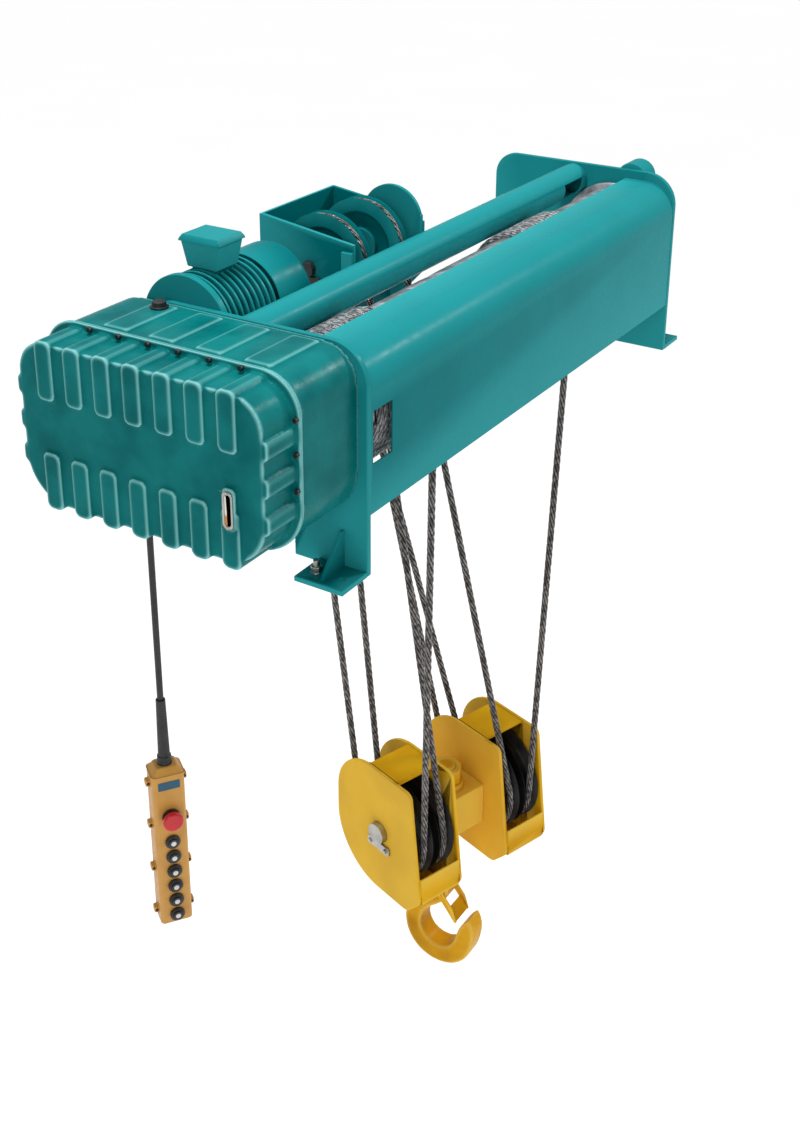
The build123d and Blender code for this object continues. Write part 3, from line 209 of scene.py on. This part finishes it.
def wire_rope(name, groove, crown):
    """Stranded rope: dark grease in the grooves, a painted highlight on the crowns of the strands, patchy at
    random, and the wires of each strand.
    """
    material, tree, shader = node_tree(name)
    height = add(tree, "ShaderNodeAttribute", attribute_name="crown").outputs["Fac"]
    lay = add(tree, "ShaderNodeUVMap", uv_map="lay").outputs["UV"]
    wires = add(tree, "ShaderNodeTexWave", Scale=1.0, Distortion=0.4, Detail=1.0, bands_direction="X")
    wires.inputs["Detail Scale"].default_value = 2.0
    tree.links.new(lay, wires.inputs["Vector"])
    # painted highlight: the crown colour brightens the tops of the strands, in random patches
    patchy_crown_highlight = ramp(tree, noise(tree, 60.0, 4.0), [(0.42, tuple(c * 0.30 for c in crown)), (0.58, crown)])
    strand = mix(tree, ramp(tree, height, [(0.35, grey(0.0)), (0.85, grey(1.0))]), groove, patchy_crown_highlight)
    lined = mix(tree, ramp(tree, wires.outputs["Fac"], [(0.2, grey(0.55)), (0.6, grey(0.0))]), strand, groove)
    tree.links.new(lined, shader.inputs["Base Color"])
    tree.links.new(ramp(tree, height, [(0.2, grey(0.62)), (0.9, grey(0.34))]), shader.inputs["Roughness"])
    bump(tree, shader, [(wires.outputs["Fac"], 0.7, 0.0008)])
    shader.inputs["Metallic"].default_value = 0.35
    shader.inputs["Specular IOR Level"].default_value = 0.30
    return material


def moulded(name, colour, dark, rough=0.45, grain=420.0):
    """Moulded plastic or rubber with a fine even grain and handling marks."""
    material, tree, shader = node_tree(name)
    tree.links.new(ramp(tree, noise(tree, 14.0, 5.0), [(0.32, dark), (0.58, colour)]),
                   shader.inputs["Base Color"])
    tree.links.new(ramp(tree, noise(tree, 60.0, 3.0), [(0.3, grey(rough - 0.07)), (0.7, grey(rough + 0.1))]),
                   shader.inputs["Roughness"])
    bump(tree, shader, [(noise(tree, grain, 1.0), 0.14, 0.0005)])
    return material


def gauge_fill(name, low, high):
    """Sight glass: amber oil at the bottom, pale above it."""
    material, tree, shader = node_tree(name)
    parts = add(tree, "ShaderNodeSeparateXYZ")
    tree.links.new(coordinates(tree), parts.inputs[0])
    level = add(tree, "ShaderNodeMapRange")
    level.inputs["From Min"].default_value = low
    level.inputs["From Max"].default_value = high
    tree.links.new(parts.outputs["Z"], level.inputs["Value"])
    stops = [(0.30, (0.55, 0.20, 0.02)), (0.40, (0.85, 0.83, 0.74))]
    tree.links.new(ramp(tree, level.outputs["Result"], stops), shader.inputs["Base Color"])
    shader.inputs["Roughness"].default_value = 0.15
    return material


# The third colour of each enamel is its painted highlight, laid on the convex edges.
GREEN = enamel("green_enamel", (0.0, 0.160, 0.174), (0.03, 0.36, 0.38), (0.0, 0.140, 0.152))
GREEN_CAST = cast_enamel("green_cast_enamel", (0.004, 0.175, 0.176), (0.24, 0.60, 0.60), (0.0, 0.115, 0.120))
YELLOW = enamel("yellow_enamel", (0.80, 0.44, 0.012), (0.90, 0.62, 0.10), (0.66, 0.33, 0.006), 0.30)
YELLOW_CAST = cast_enamel("yellow_cast_enamel", (0.74, 0.38, 0.012), (0.88, 0.60, 0.12), (0.50, 0.23, 0.005))
# The crown colour of each rope is a painted highlight on the tops of its strands.
ROPE = wire_rope("greased_rope", (0.010, 0.009, 0.009), (0.52, 0.49, 0.47))
DRUM_ROPE = wire_rope("drum_rope", (0.14, 0.14, 0.15), (0.80, 0.81, 0.84))
BARREL = worked_steel("turned_barrel", (0.62, 0.63, 0.66), 0.48, turned_about_x=True)
SHAFT = worked_steel("ground_shaft", (0.55, 0.55, 0.54), 0.30)
GEAR = worked_steel("oiled_gear", (0.36, 0.35, 0.33), 0.38)
ZINC = worked_steel("zinc_plate", (0.52, 0.51, 0.47), 0.38)
IRON = worked_steel("dark_iron", (0.045, 0.045, 0.048), 0.50)
DARK = moulded("black_paint", (0.020, 0.020, 0.021), (0.010, 0.010, 0.010), 0.40)
RUBBER = moulded("black_rubber", (0.018, 0.018, 0.020), (0.008, 0.008, 0.009), 0.50)
CASE_PLASTIC = moulded("pendant_plastic", (0.64, 0.32, 0.055), (0.56, 0.27, 0.040), 0.42)
RED = moulded("red_plastic", (0.62, 0.010, 0.018), (0.48, 0.006, 0.012), 0.25, 900.0)
WHITE = moulded("white_plastic", (0.78, 0.78, 0.76), (0.66, 0.66, 0.64), 0.35, 900.0)
BLUE = moulded("blue_film", (0.003, 0.092, 0.165), (0.002, 0.075, 0.135), 0.35, 900.0)
COPPER = moulded("winding", (0.22, 0.09, 0.04), (0.12, 0.05, 0.02), 0.5)


# ---------------------------------------------------------------- mesh helpers
def add_piece(name, bm, material, body):
    mesh = bpy.data.meshes.new(name)
    bm.to_mesh(mesh)
    bm.free()
    mesh.polygons.foreach_set("use_smooth", [True] * len(mesh.polygons))
    mesh.materials.append(material)
    piece = bpy.data.objects.new(name, mesh)
    bpy.context.scene.collection.objects.link(piece)
    if body:
        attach(piece, body)
    return piece


def welded(node):
    """Welded copy of a CAD node's mesh."""
    bm = bmesh.new()
    bm.from_mesh(NODES[node].data)
    bmesh.ops.remove_doubles(bm, verts=bm.verts, dist=1e-5)
    return bm


def round_edges(piece, width, segments=2, angle=38):
    bevel = piece.modifiers.new("edges", "BEVEL")
    bevel.width = width
    bevel.segments = segments
    bevel.limit_method = "ANGLE"
    bevel.angle_limit = math.radians(angle)
    bevel.use_clamp_overlap = False
    weighted = piece.modifiers.new("shading", "WEIGHTED_NORMAL")
    weighted.keep_sharp = False


def softened(node, material, width=0.002, segments=2):
    """The CAD node with its edges rounded, which stands for that node."""
    bm = welded(node)
    bmesh.ops.dissolve_limit(bm, angle_limit=math.radians(0.8), verts=bm.verts, edges=bm.edges)
    piece = add_piece(f"{node}_finished", bm, material, BODY_OF[node])
    round_edges(piece, width, segments)
    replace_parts(piece, node)


def moulded_shape(node, material, voxel, rounds):
    """The CAD node with the soft corners of a casting or forging, which stands for that node."""
    bm = welded(node)
    rough = bpy.data.meshes.new(f"{node}_rough")
    bm.to_mesh(rough)
    bm.free()
    holder = bpy.data.objects.new(f"{node}_rough", rough)
    bpy.context.scene.collection.objects.link(holder)
    remesh = holder.modifiers.new("skin", "REMESH")
    remesh.mode = "VOXEL"
    remesh.voxel_size = voxel
    smooth = holder.modifiers.new("corners", "SMOOTH")
    smooth.factor = 0.5
    smooth.iterations = rounds
    bpy.context.view_layer.update()
    evaluated = holder.evaluated_get(bpy.context.evaluated_depsgraph_get())
    shape = bmesh.new()
    shape.from_mesh(evaluated.to_mesh())
    bpy.data.objects.remove(holder)
    piece = add_piece(f"{node}_cast", shape, material, BODY_OF[node])
    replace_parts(piece, node)


def square_to(axis):
    """Matrix whose Z is the axis."""
    return Vector(axis).to_track_quat("Z", "Y").to_matrix().to_4x4()


def lathe(name, origin, axis, profile, material, body, steps=48):
    """Turned shape; profile is a list of (radius, height along the axis)."""
    bm = bmesh.new()
    place = Matrix.Translation(Vector(origin)) @ square_to(axis)
    rings = []
    for radius, height in profile:
        ring = []
        for k in range(steps):
            a = 2 * math.pi * k / steps
            ring.append(bm.verts.new(place @ Vector((radius * math.cos(a), radius * math.sin(a), height))))
        rings.append(ring)
    for low, high in zip(rings, rings[1:]):
        for k in range(steps):
            bm.faces.new((low[k], low[(k + 1) % steps], high[(k + 1) % steps], high[k]))
    bm.faces.new(list(reversed(rings[0])))
    bm.faces.new(rings[-1])
    return add_piece(name, bm, material, body)


# ---------------------------------------------------------------- rope
def strand_outline(turn):
    """Outline of six round strands round a core: (angle, radius share, crown) at each sample."""
    per_strand = 7
    outline = []
    for k in range(STRANDS * per_strand):
        within = (k % per_strand) / per_strand - 0.5
        a = within * 2 * math.pi / STRANDS
        off = 2.0 / 3.0 * math.sin(a)
        radius = 2.0 / 3.0 * math.cos(a) + math.sqrt(max(1.0 / 9.0 - off * off, 0.0))
        outline.append((turn + 2 * math.pi * k / (STRANDS * per_strand), radius, (radius - 0.577) / 0.423))
    return outline


def rope_along(places, rope_r=ROPE_R):
    """Stranded rope through places, a list of (centre, side direction, up direction, distance)."""
    bm = bmesh.new()
    crown = bm.verts.layers.float.new("crown")
    lay = bm.loops.layers.uv.new("lay")
    rings = []
    for centre, side, up, along in places:
        ring = []
        for a, share, height in strand_outline(2 * math.pi * along / ROPE_LAY):
            vert = bm.verts.new(centre + (side * math.cos(a) + up * math.sin(a)) * (rope_r * share))
            vert[crown] = height
            ring.append(vert)
        rings.append(ring)
    count = len(rings[0])
    for n in range(len(rings) - 1):
        near = places[n][3]
        far = places[n + 1][3]
        for k in range(count):
            m = (k + 1) % count
            face = bm.faces.new((rings[n][k], rings[n][m], rings[n + 1][m], rings[n + 1][k]))
            corners = ((k, near), (k + 1, near), (k + 1, far), (k, far))
            for loop, (across, distance) in zip(face.loops, corners):
                loop[lay].uv = (across * 0.9 + distance * 420.0, distance * 40.0)
    bm.faces.new(list(reversed(rings[0])))
    bm.faces.new(rings[-1])
    bmesh.ops.recalc_face_normals(bm, faces=bm.faces)
    return bm


def straight_places(top, low, step=ROPE_STEP):
    way = low - top
    count = max(2, round(way.length / step))
    along = way.normalized()
    side = along.cross(Vector((0, 1, 0))).normalized()
    up = side.cross(along)
    return [(top + way * (k / count), side, up, way.length * k / count) for k in range(count + 1)]


def arc_places(x, centre, radius, first, last, step=ROPE_STEP):
    """Along an arc about the X axis, angles in radians from +Y to +Z."""
    length = abs(last - first) * radius
    count = max(4, round(length / step))
    places = []
    for k in range(count + 1):
        a = first + (last - first) * k / count
        out = Vector((0, math.cos(a), math.sin(a)))
        spot = Vector((x, centre[0], centre[1])) + out * radius
        places.append((spot, out, Vector((1, 0, 0)), length * k / count))
    return places


def with_block(places):
    """The same places once they are turned with the hook block."""
    turn = BLOCK_TURN.to_3x3()
    return [(BLOCK + turn @ (spot - BLOCK), turn @ side, turn @ up, along)
            for spot, side, up, along in places]


def tangent(c1, r1, c2, r2, side):
    """Touching points of the straight rope on a side (-1 front, 1 back) of two circles in the YZ plane."""
    dy, dz = c2[0] - c1[0], c2[1] - c1[1]
    gap = math.hypot(dy, dz)
    ey, ez = dy / gap, dz / gap
    lean = (r1 - r2) / gap
    rise = math.sqrt(1.0 - lean * lean)
    py, pz = -ez, ey
    if py * side < 0:
        py, pz = -py, -pz
    ny, nz = ey * lean + py * rise, ez * lean + pz * rise
    return (c1[0] + r1 * ny, c1[1] + r1 * nz), (c2[0] + r2 * ny, c2[1] + r2 * nz)


def joint_centre(name):
    """Place of a joint along Y and Z."""
    return tuple(JOINTS[name]["pos_m"][1:])


def block_point(x, place):
    """Where a point of the hook block is once the block is turned; place is its (y, z) before that."""
    return BLOCK + BLOCK_TURN.to_3x3() @ (Vector((x, *place)) - BLOCK)


DRUM_C = joint_centre("drum_turn")
UPPER_C = joint_centre("upper_sheave_turn")
BLOCK_C = joint_centre("outer_sheave_turn")
BLOCK = Vector(JOINTS["outer_sheave_turn"]["pos_m"])
BLOCK_AXIS = Vector(JOINTS["outer_sheave_turn"]["axis"])
BLOCK_TURN = Matrix.Rotation(math.atan2(BLOCK_AXIS.y, BLOCK_AXIS.x), 4, "Z")
ROCKER_X, ROCKER_Y, ROCKER_Z = JOINTS["equaliser_rock"]["pos_m"]
SHEAVE_HALF = 0.025                   # half width of an upper sheave
UPPER_X = [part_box("upper_sheaves")[0].x + SHEAVE_HALF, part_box("upper_sheaves")[1].x - SHEAVE_HALF]
OUTER_X = [BLOCK.x - HOUSING_OFF - SHEAVE_OFF, BLOCK.x + HOUSING_OFF + SHEAVE_OFF]
INNER_X = [BLOCK.x - HOUSING_OFF + SHEAVE_OFF, BLOCK.x + HOUSING_OFF - SHEAVE_OFF]
ROCKER_HALF = 0.062                   # from the rocker's pin to a dead end, sideways
ROCKER_DOWN = 0.023                   # and down
DRUM_TAN, BLOCK_FROM_DRUM = tangent(DRUM_C, DRUM_PITCH_R, BLOCK_C, LOWER_R, -1)
UPPER_FRONT, BLOCK_FRONT = tangent(UPPER_C, UPPER_R, BLOCK_C, LOWER_R, -1)
UPPER_BACK, BLOCK_BACK = tangent(UPPER_C, UPPER_R, BLOCK_C, LOWER_R, 1)
BLOCK_DEAD = tangent((ROCKER_Y, ROCKER_Z), 0.0, BLOCK_C, LOWER_R, 1)[1]
LEAD_X = [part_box("drum_rope_falls")[0].x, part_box("drum_rope_falls")[1].x]
LEAD_LEFT = LEAD_X[0] + ROPE_R
LEAD_RIGHT = LEAD_X[1] - ROPE_R


def fall(name, start, end):
    """One straight fall, from a point on the frame at its top to a point on the hook block at its foot."""
    piece = add_piece(name, rope_along(straight_places(start, end), FALL_R), ROPE, None)
    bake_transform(piece)
    return piece


def falls():
    for n, name in enumerate(("left", "right")):
        outer, inner = OUTER_X[n], INNER_X[n]
        lead = Vector(((LEAD_LEFT, LEAD_RIGHT)[n], *DRUM_TAN))
        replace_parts(fall(f"drum_fall_{name}", lead, block_point(outer, BLOCK_FROM_DRUM)), "drum_rope_falls")
        over = Vector((UPPER_X[n], *UPPER_BACK))
        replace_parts(fall(f"upper_fall_back_{name}", over, block_point(outer, BLOCK_BACK)), "upper_rope_falls")
        over = Vector((UPPER_X[n], *UPPER_FRONT))
        front = fall(f"upper_fall_front_{name}", over, block_point(inner, BLOCK_FRONT))
        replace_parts(front, "upper_rope_falls")
        eye = Vector((ROCKER_X + (2 * n - 1) * ROCKER_HALF, ROCKER_Y, ROCKER_Z - ROCKER_DOWN))
        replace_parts(fall(f"dead_fall_{name}", eye, block_point(inner, BLOCK_DEAD)), "dead_end_rope_falls")


def angle_about(point, centre):
    return math.atan2(point[1] - centre[1], point[0] - centre[0])


def wraps():
    """Rope over the upper sheaves and under the sheaves of the hook block."""
    full = 2 * math.pi
    first = angle_about(UPPER_BACK, UPPER_C)
    last = angle_about(UPPER_FRONT, UPPER_C) % full
    for n, x in enumerate(UPPER_X):
        bm = rope_along(arc_places(x, UPPER_C, UPPER_R, first, last))
        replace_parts(add_piece(f"upper_wrap_{n + 1}", bm, ROPE, "frame"), "upper_rope_wraps")
    for group, xs, start, finish in (("outer", OUTER_X, BLOCK_FROM_DRUM, BLOCK_BACK),
                                     ("inner", INNER_X, BLOCK_FRONT, BLOCK_DEAD)):
        first = angle_about(start, BLOCK_C) % full
        last = angle_about(finish, BLOCK_C) + full
        for n, x in enumerate(xs):
            bm = rope_along(with_block(arc_places(x, BLOCK_C, LOWER_R, first, last)))
            piece = add_piece(f"lower_wrap_{group}_{n + 1}", bm, ROPE, "hook_block")
            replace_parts(piece, "lower_rope_wraps")


def drum_direction(turn):
    """Unit direction on the drum, counted from where the rope leaves it, the way the rope is wound."""
    a = (DRUM_TAN[0] - DRUM_C[0]) / DRUM_PITCH_R
    b = (DRUM_TAN[1] - DRUM_C[1]) / DRUM_PITCH_R
    return Vector((0, a * math.cos(turn) + b * math.sin(turn), b * math.cos(turn) - a * math.sin(turn)))


def windings():
    """Stranded rope on the drum, from each lead toward its own end."""
    total = 2 * math.pi * WIND_TURNS
    count = round(total * DRUM_PITCH_R / 0.0085)
    for name, lead, way in (("left", LEAD_LEFT, -1), ("right", LEAD_RIGHT, 1)):
        places = []
        for k in range(count + 1):
            turn = total * k / count
            out = drum_direction(turn)
            x = lead + way * WIND_PITCH * turn / (2 * math.pi)
            spot = Vector((x, DRUM_C[0], DRUM_C[1])) + out * DRUM_PITCH_R
            places.append((spot, out, Vector((1, 0, 0)), turn * DRUM_PITCH_R))
        piece = add_piece(f"winding_{name}", rope_along(places), DRUM_ROPE, "rope_drum")
        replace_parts(piece, "rope_windings")


def barrel():
    """Drum shell with a helical groove for each rope, a plain band in the middle and flanges at its ends."""
    low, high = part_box("drum_shell")
    flange = 0.020
    x0, x1 = low.x + flange, high.x - flange
    middle = (LEAD_LEFT + LEAD_RIGHT) / 2
    rows = round((x1 - x0) / 0.005)
    around = 96
    bm = bmesh.new()
    rings = []
    for n in range(rows + 1):
        x = x0 + (x1 - x0) * n / rows
        lead, way = (LEAD_LEFT, -1) if x < middle else (LEAD_RIGHT, 1)
        depth = 0.0022 * min(1.0, max(0.0, (abs(x - middle) - 0.02) / 0.02))
        ring = []
        for k in range(around):
            turn = 2 * math.pi * k / around
            phase = 2 * math.pi * (x - lead) / WIND_PITCH - way * turn
            radius = DRUM_R + 0.0003 - depth * math.cos(phase)
            ring.append(bm.verts.new(Vector((x, *DRUM_C)) + drum_direction(turn) * radius))
        rings.append(ring)
    for near, far in zip(rings, rings[1:]):
        for k in range(around):
            m = (k + 1) % around
            bm.faces.new((near[k], near[m], far[m], far[k]))
    bm.faces.new(rings[0])
    bm.faces.new(list(reversed(rings[-1])))
    bmesh.ops.recalc_face_normals(bm, faces=bm.faces)
    piece = add_piece("grooved_barrel", bm, BARREL, "rope_drum")
    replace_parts(piece, "drum_shell")
    radius = (high.z - low.z) / 2
    profile = [(0.040, 0.0), (radius - 0.002, 0.0), (radius, 0.002), (radius, flange - 0.002),
               (radius - 0.002, flange), (0.040, flange)]
    for name, x in (("near", low.x), ("far", high.x - flange)):
        disc = lathe(f"drum_flange_{name}", (x, *DRUM_C), (1, 0, 0), profile, BARREL,
                     "rope_drum", 96)
        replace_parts(disc, "drum_shell")


# ---------------------------------------------------------------- pieces on the frame
def finish_frame():
    for node, width in (("near_end_plate", 0.003), ("far_end_plate", 0.003), ("mounting_feet", 0.002),
                        ("main_beam", 0.002), ("drum_cover", 0.0012), ("sheave_frame", 0.002),
                        ("drum_bearing_housing", 0.004), ("limit_switch_case", 0.005),
                        ("motor_flange", 0.003), ("terminal_box", 0.004), ("terminal_box_lid", 0.003),
                        ("brake_cowl", 0.003), ("motor_housing", 0.0015)):
        softened(node, GREEN, width)
    moulded_shape("gear_case", GREEN_CAST, 0.005, 4)
    moulded_shape("gear_cover", GREEN_CAST, 0.0042, 5)
    softened("foot_studs", ZINC, 0.0015)
    softened("gear_cover_bolts", DARK, 0.0012)
    softened("breather_plug", DARK, 0.0015)
    softened("cable_gland", DARK, 0.0012)
    softened("oil_gauge_frame", ZINC, 0.0012)
    softened("upper_frame_pins", DARK, 0.0015)
    softened("equaliser_rocker", DARK, 0.002)
    softened("upper_sheaves", GREEN, 0.0015)
    softened("rope_clamps", ZINC, 0.0012)


def gauge_glass():
    """Sight glass that bulges a little out of its frame."""
    low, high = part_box("oil_gauge_glass")
    y, r = (low.y + high.y) / 2, (high.y - low.y) / 2
    bm = bmesh.new()
    rings = []
    for share, x in ((1.0, high.x), (1.0, low.x - 0.0035), (0.86, low.x - 0.0052), (0.5, low.x - 0.0060)):
        ring = []
        for k in range(32):
            a = 2 * math.pi * (k + 0.5) / 32
            end = high.z - r if math.sin(a) > 0 else low.z + r
            ring.append(bm.verts.new((x, y + r * share * math.cos(a), end + r * share * math.sin(a))))
        rings.append(ring)
    for near, far in zip(rings, rings[1:]):
        for k in range(32):
            bm.faces.new((near[k], near[(k + 1) % 32], far[(k + 1) % 32], far[k]))
    bm.faces.new(rings[-1])
    bmesh.ops.recalc_face_normals(bm, faces=bm.faces)
    material = gauge_fill("gauge_fill", low.z, high.z)
    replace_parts(add_piece("sight_glass", bm, material, "frame"), "oil_gauge_glass")


def plain_materials():
    """CAD nodes whose shape is kept as it is."""
    kept = {"layshaft_gear": GEAR, "layshaft": SHAFT, "drum_gear": GEAR, "motor_shaft": SHAFT,
            "motor_rotor": COPPER, "brake_disc": SHAFT, "motor_stator": COPPER, "drum_shaft": SHAFT}
    for node, material in kept.items():
        mesh = NODES[node].data
        mesh.materials.clear()
        mesh.materials.append(material)


# ---------------------------------------------------------------- hook block
def hook_block():
    softened("sheave_housings", YELLOW, 0.003)
    softened("crosshead", YELLOW, 0.004)
    softened("block_pins", ZINC, 0.002)
    softened("outer_block_sheaves", IRON, 0.0015)
    softened("inner_block_sheaves", IRON, 0.0015)
    softened("hook_nut_and_bearing", YELLOW, 0.002)
    softened("hook_latch", YELLOW, 0.001)
    moulded_shape("hook", YELLOW_CAST, 0.005, 14)


# ---------------------------------------------------------------- pendant
INTO = Vector(JOINTS["stop_press"]["axis"])
OUT = -INTO

# Turned profiles, as (radius, height along the axis).
BUTTON_FACE = [(0.0085, 0.0), (0.0085, 0.001), (0.0075, 0.0016)]
BUTTON_RING = [(0.0162, 0.0), (0.0215, 0.0), (0.0210, 0.0022), (0.0185, 0.0034), (0.0162, 0.0026)]
SCREW_HEAD = [(0.0052, 0.0), (0.0052, 0.0018), (0.0035, 0.0030)]
BUTTON_HALF = 0.012
FACE_SINK = 0.0005
RING_SINK = 0.0075
LUG_RISES = (0.040, 0.210, 0.380, 0.540)
LUG_ACROSS = 0.059
LUG_FRONT = 0.0105


def middle_of(node):
    low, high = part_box(node)
    return (low + high) / 2


def pendant_cable():
    """Cable that hangs straight from the gland into the sleeve."""
    low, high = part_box("pendant_cable")
    x, y = (low.x + high.x) / 2, (low.y + high.y) / 2
    curve = bpy.data.curves.new("pendant_cord", "CURVE")
    curve.dimensions = "3D"
    spline = curve.splines.new("NURBS")
    route = [(x, y, z) for z in (high.z, 0.030, -0.180, -0.390, low.z)]
    spline.points.add(len(route) - 1)
    for point, spot in zip(spline.points, route):
        point.co = (*spot, 1.0)
    spline.order_u = 3
    spline.use_endpoint_u = True
    curve.bevel_depth = 0.010
    curve.bevel_resolution = 6
    curve.materials.append(RUBBER)
    cord = bpy.data.objects.new("pendant_cord", curve)
    bpy.context.scene.collection.objects.link(cord)
    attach(cord, "pendant_line")
    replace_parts(cord, "pendant_cable")


def pendant():
    softened("pendant_sleeve", RUBBER, 0.0015)
    softened("pendant_case", CASE_PLASTIC, 0.004, 3)
    softened("pendant_label", BLUE, 0.0004)
    softened("button_collars", DARK, 0.0012)
    softened("emergency_stop", RED, 0.0015)
    for k in range(6):
        node = f"button_{k + 1}"
        softened(node, DARK, 0.001)
        face = middle_of(node) + OUT * BUTTON_HALF
        lathe(f"button_face_{k + 1}", face - OUT * FACE_SINK, OUT, BUTTON_FACE,
              WHITE, f"push_button_{k + 1}")
        lathe(f"button_ring_{k + 1}", face - OUT * RING_SINK, OUT, BUTTON_RING,
              DARK, "pendant_handset")
    lug_screws()


def lug_screws():
    """Dark screw heads on the front of the case's side lugs."""
    low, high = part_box("pendant_case")
    across = Vector((-OUT.y, OUT.x, 0))
    for k, rise in enumerate(LUG_RISES):
        centre = Vector(((low.x + high.x) / 2, (low.y + high.y) / 2, low.z + rise))
        for side in (-1, 1):
            lathe(f"lug_screw_{k}_{side}", centre + across * LUG_ACROSS * side + OUT * LUG_FRONT, OUT,
                  SCREW_HEAD, DARK, "pendant_handset")


# ---------------------------------------------------------------- studio
FLOOR_DROP = 1.75                     # clears the hook block at the bottom of its travel


def studio():
    bpy.ops.mesh.primitive_plane_add(size=160.0, location=(0, 0, CAD_BOX[0].z - FLOOR_DROP))
    floor = bpy.context.object
    floor.name = "floor"
    material, tree, shader = node_tree("studio_floor")
    tree.links.new(ramp(tree, noise(tree, 0.4, 2.0), [(0.3, grey(0.40)), (0.7, grey(0.42))]),
                   shader.inputs["Base Color"])
    shader.inputs["Roughness"].default_value = 0.9
    shader.inputs["Specular IOR Level"].default_value = 0.0
    shader.inputs["Emission Color"].default_value = (1.0, 1.0, 1.0, 1.0)
    shader.inputs["Emission Strength"].default_value = 0.82
    floor.data.materials.append(material)
    world = bpy.data.worlds.new("studio")
    bpy.context.scene.world = world
    world.use_nodes = True
    world.node_tree.nodes["Background"].inputs["Color"].default_value = (1.0, 1.0, 1.0, 1.0)
    world.node_tree.nodes["Background"].inputs["Strength"].default_value = 0.42
    softbox("key", (5.2, -3.6, 4.4), 0.8, 0.8, 230.0)
    softbox("top", (-1.0, 0.5, 6.0), 1.4, 1.4, 290.0)
    softbox("left", (-6.5, -2.0, 2.6), 1.6, 2.2, 70.0)
    bpy.context.scene.view_settings.view_transform = "Standard"


def softbox(name, spot, width, height, power):
    light = bpy.data.lights.new(name, "AREA")
    light.shape = "RECTANGLE"
    light.size = width
    light.size_y = height
    light.energy = power
    lamp = bpy.data.objects.new(name, light)
    bpy.context.scene.collection.objects.link(lamp)
    lamp.location = spot
    target = Vector((-0.2, -0.1, 0.2))
    lamp.rotation_euler = (target - Vector(spot)).to_track_quat("-Z", "Y").to_euler()


def camera():
    data = bpy.data.cameras.new("camera")
    data.lens = 48.04
    data.sensor_width = 36.0
    data.shift_x = 0.0357
    data.shift_y = -0.1530
    data.clip_end = 200.0
    eye = bpy.data.objects.new("camera", data)
    bpy.context.scene.collection.objects.link(eye)
    eye.location = (-4.2249, -2.4417, 2.1517)
    eye.rotation_euler = (math.radians(90 - 22.67), math.radians(0.24), math.radians(33.38 - 90))
    bpy.context.scene.camera = eye


camera()
studio()
finish_frame()
plain_materials()
gauge_glass()
barrel()
windings()
falls()
wraps()
hook_block()
pendant_cable()
pendant()
